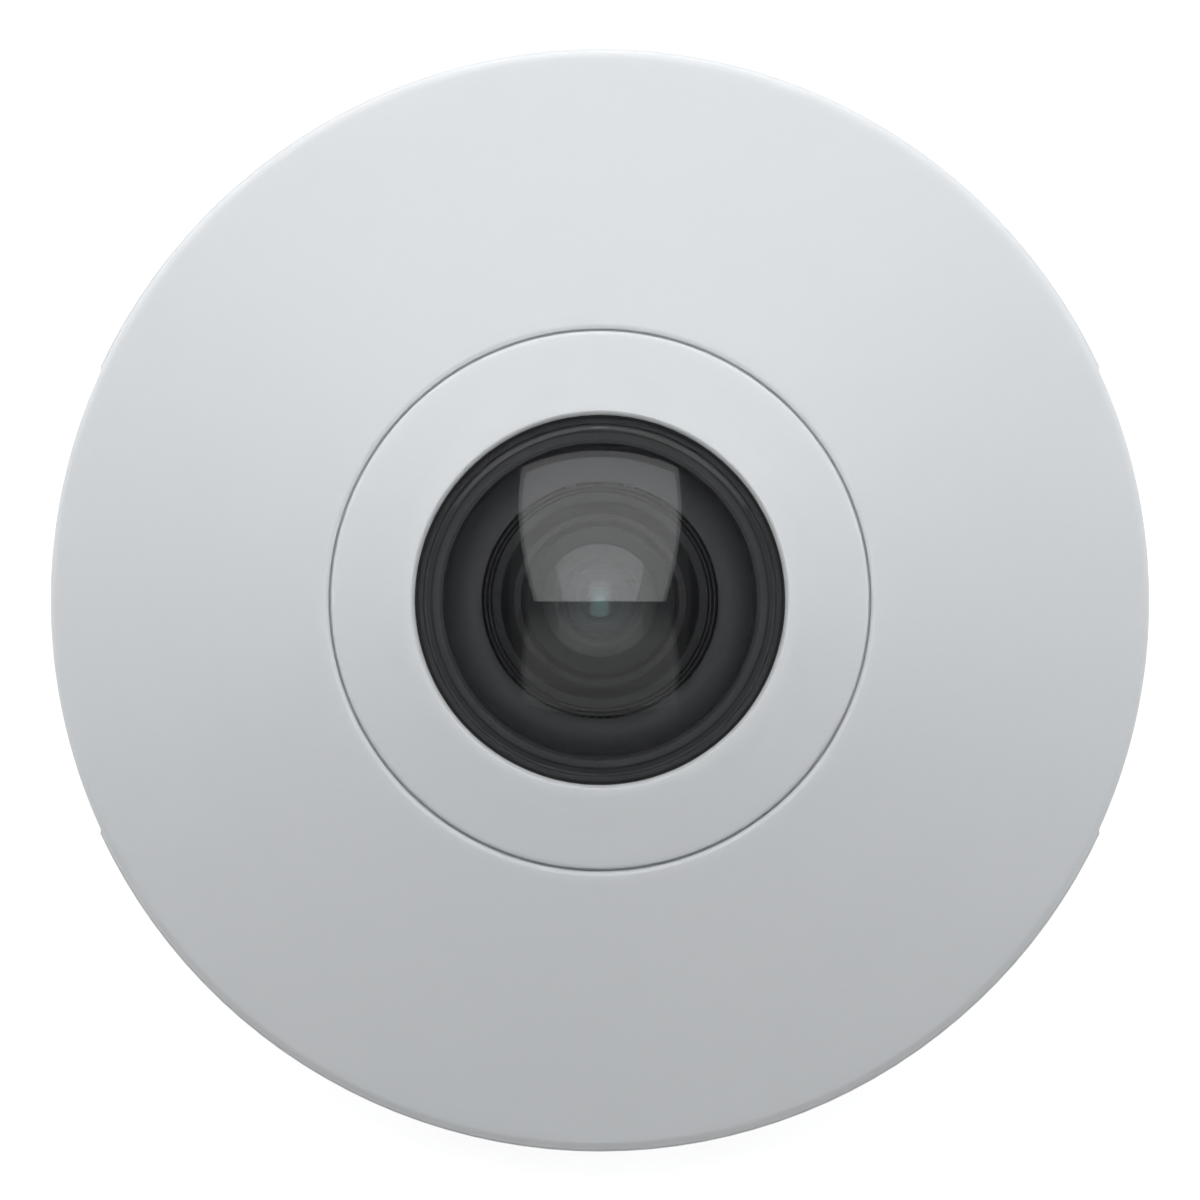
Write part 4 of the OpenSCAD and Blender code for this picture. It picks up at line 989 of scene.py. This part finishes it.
cover_low, draft, foot_bevel, collar_t, collar_h = 8.4, 0.12, 0.15, 1.6, 4
edge_z = face_z - (edge_fillet - crown_r) * math.cos(math.radians(slope))
hole_r, hole_fillet = 31.4, 0.5
hole_z = face_height(hole_r + hole_fillet, hole_fillet)
hole_a = math.degrees(math.acos((hole_r + hole_fillet - face_r) / (crown_r - hole_fillet)))
collar_low = face_height(hole_r) - collar_h
inner_r = cover_r - cover_t
cover_profile = (
    [(cover_r + draft, cover_low + foot_bevel), (cover_r, edge_z)]
    + arc((fillet_r, edge_z), edge_fillet, 0, 90 - slope, 16)
    + arc((face_r, face_z), crown_r, 90 - slope, hole_a, 60)
    + arc((hole_r + hole_fillet, hole_z), hole_fillet, hole_a, 180, 10)
    + [(hole_r, collar_low), (hole_r + collar_t, collar_low)]
    + face_curve(hole_r + collar_t, inner_r, cover_t, 24)
    + [(cover_r + draft - cover_t, cover_low), (cover_r + draft - foot_bevel, cover_low)]
)
cover = turned("cover_shell", cover_profile, steps=480, sharp=50)
rib_t, rib_h, rib_count = 1.2, 1.6, 8
rib_from, rib_to = hole_r + collar_t / 2, inner_r + cover_t / 4
rib = face_curve(rib_from, rib_to, cover_t / 2, 12)
rib += face_curve(rib_to, rib_from, cover_t + rib_h, 12)
for i in range(rib_count):
    a = math.radians((i + 0.5) * 360 / rib_count)
    extend(
        cover,
        [
            [
                (r * math.cos(a) - side * math.sin(a), r * math.sin(a) + side * math.cos(a), z)
                for r, z in rib
            ]
            for side in (-rib_t / 2, rib_t / 2)
        ],
    )
tongue_out_r, tongue_t, tongue_span = 62.2, 1.5, 16
tongue_low, tongue_rise, tongue_gap = 7.3, 5, 0.05
tongue_in_r, tongue_root_r = tongue_out_r - tongue_t, inner_r + cover_t / 2
tongue = [
    (tongue_in_r, tongue_low), (tongue_out_r, tongue_low), (tongue_out_r, cover_low + tongue_gap),
    (tongue_root_r, cover_low + tongue_gap), (tongue_root_r, cover_low + tongue_rise),
    (tongue_in_r, cover_low + tongue_rise),
]
for middle in (45, 135, 225, 315):
    extend(cover, [spun(tongue, middle + tongue_span * (i / 16 - 0.5)) for i in range(17)])
stand_for(cover, cover_plastic, "white_cover_plastic", "cover", "top_cover")

# --- Lamps ----------------------------------------------------------------------------------
# One big square soft box above the camera gives most of the light. A weaker panel below it
# shows in the lower half of the dome, and plain panels that gloss doesn't see even out the rest.


def lamp(name, azimuth, elevation, distance, size, power, glossy=True):
    """A soft box aimed at the dome; azimuth is counted from +X, elevation from the ceiling."""
    a, e = math.radians(azimuth), math.radians(elevation)
    spot = Vector((math.cos(a) * math.cos(e), math.sin(a) * math.cos(e), math.sin(e))) * distance
    data = bpy.data.lights.new(name, "AREA")
    data.shape = "RECTANGLE"
    data.size, data.size_y = size
    data.energy = power
    box = bpy.data.objects.new(name, data)
    box.location = spot
    box.rotation_mode = "QUATERNION"
    box.rotation_quaternion = spot.to_track_quat("Z", "Y")
    box.visible_camera = False
    box.visible_glossy = glossy
    bpy.context.scene.collection.objects.link(box)
    return box


lamp("key_soft_box", 90, 55.7, 1.0, (1.34, 1.4), 8.9)
low_panel = lamp("low_panel", 270, 62.2, 1.5, (2.0, 1.39), 3.86)
# its light fades out over its upper third, where it nears the overhead camera
fade_share = 0.34
low_panel.data.use_nodes = True
tree = low_panel.data.node_tree
geometry = add(tree, "ShaderNodeNewGeometry")
place = add(tree, "ShaderNodeSeparateXYZ", {}, {0: geometry.outputs["Parametric"]})
fade = add(
    tree,
    "ShaderNodeMapRange",
    {"From Min": 1, "From Max": 1 - fade_share, "To Min": 0, "To Max": 1},
    {0: place.outputs["Y"]},
)
tree.links.new(fade.outputs[0], tree.nodes["Emission"].inputs["Strength"])
lamp("overhead_fill", 90, 89, 1.3, (2.4, 2.4), 3.3, glossy=False)
# the bright table at both sides, a little below the object's edge, lights the cover's fillet
for azimuth in (35, 145):
    lamp(f"side_glow_{azimuth}", azimuth, -6, 1.2, (0.8, 0.16), 5, glossy=False)
# the bright horizon in the upper corners, which the dome shows at its very edge
for azimuth in (63, 117):
    lamp(f"horizon_{azimuth}", azimuth, 6.5, 1.5, (1.7, 0.13), 0.8)
# below the floor, which lets lamps through: it shows the bracket to whoever looks from there
lamp("under_panel", 270, -80, 1.5, (1.5, 1.5), 9, glossy=False)

# --- Room and floor -------------------------------------------------------------------------
# A dim studio round a white backdrop. The camera sees white behind the object, and the dome
# shows the dim room that it shows in the photograph.

world = bpy.data.worlds.new("studio")
world.use_nodes = True
bpy.context.scene.world = world
tree = world.node_tree
tree.nodes.clear()
path = add(tree, "ShaderNodeLightPath")
seen = add(
    tree,
    "ShaderNodeMath",
    {},
    {0: path.outputs["Is Camera Ray"], 1: path.outputs["Is Transmission Ray"]},
    operation="ADD",
    use_clamp=True,
)
bounced = add(
    tree,
    "ShaderNodeMath",
    {},
    {0: path.outputs["Glossy Depth"], 1: path.outputs["Diffuse Depth"]},
    operation="ADD",
    use_clamp=True,
)
direct = add(
    tree,
    "ShaderNodeMath",
    {},
    {0: seen.outputs[0], 1: bounced.outputs[0]},
    operation="SUBTRACT",
    use_clamp=True,
)
dim = add(tree, "ShaderNodeBackground", {"Color": linear("#ffffff"), "Strength": 0.06})
white = add(tree, "ShaderNodeBackground", {"Color": linear("#ffffff"), "Strength": 1.0})
mixed = add(
    tree, "ShaderNodeMixShader", {}, {0: direct.outputs[0], 1: dim.outputs[0], 2: white.outputs[0]}
)
add(tree, "ShaderNodeOutputWorld", {}, {"Surface": mixed.outputs[0]})

floor_mesh = bpy.data.meshes.new("floor")
half, floor_z = 6, -0.0005
corners = [(x * half, y * half, floor_z) for x, y in ((-1, -1), (1, -1), (1, 1), (-1, 1))]
floor_mesh.from_pydata(corners, [], [(0, 1, 2, 3)])
floor = bpy.data.objects.new("floor", floor_mesh)
bpy.context.scene.collection.objects.link(floor)
floor.visible_shadow = False

# White backdrop paper: matt; the share of its own white keeps it white where it is lit, and
# leaves the object's soft contact shadow. From below it isn't there
backdrop, tree, shader = new_finish("white_backdrop_paper")
place = add(tree, "ShaderNodeTexCoord").outputs["Object"]
fibre_mm = 2.5
fibre = add(tree, "ShaderNodeTexNoise", {"Scale": 1000 / fibre_mm, "Detail": 2}, {"Vector": place})
tone = add(
    tree,
    "ShaderNodeMix",
    {6: linear("#f0f0f0"), 7: linear("#f4f4f4")},
    {0: fibre.outputs["Fac"]},
    data_type="RGBA",
)
tree.links.new(tone.outputs[2], shader.inputs["Base Color"])
set_shader(shader, Roughness=0.9)
path = add(tree, "ShaderNodeLightPath")
shown = add(
    tree,
    "ShaderNodeMath",
    {},
    {0: path.outputs["Is Camera Ray"], 1: path.outputs["Is Transmission Ray"]},
    operation="ADD",
    use_clamp=True,
)
mirrored = add(
    tree,
    "ShaderNodeMath",
    {},
    {0: shown.outputs[0], 1: path.outputs["Is Glossy Ray"]},
    operation="ADD",
    use_clamp=True,
)
# the share grows from the object's edge to all of it at half a metre
near, far, least = 0.09, 0.5, 0.66
away = add(tree, "ShaderNodeVectorMath", {}, {0: place}, operation="LENGTH")
spread = add(
    tree,
    "ShaderNodeMapRange",
    {"From Min": near, "From Max": far, "To Min": least, "To Max": 1},
    {"Value": away.outputs["Value"]},
)
share = add(
    tree, "ShaderNodeMath", {}, {0: mirrored.outputs[0], 1: spread.outputs[0]}, operation="MULTIPLY"
)
glow = add(tree, "ShaderNodeEmission", {"Color": linear("#ffffff")}, {"Strength": share.outputs[0]})
paper = add(tree, "ShaderNodeAddShader", {}, {0: shader.outputs[0], 1: glow.outputs[0]})
clear = add(tree, "ShaderNodeBsdfTransparent")
side = add(tree, "ShaderNodeNewGeometry")
sheet = add(
    tree,
    "ShaderNodeMixShader",
    {},
    {0: side.outputs["Backfacing"], 1: paper.outputs[0], 2: clear.outputs[0]},
)
tree.links.new(sheet.outputs[0], tree.nodes["Material Output"].inputs["Surface"])
floor.data.materials.append(backdrop)
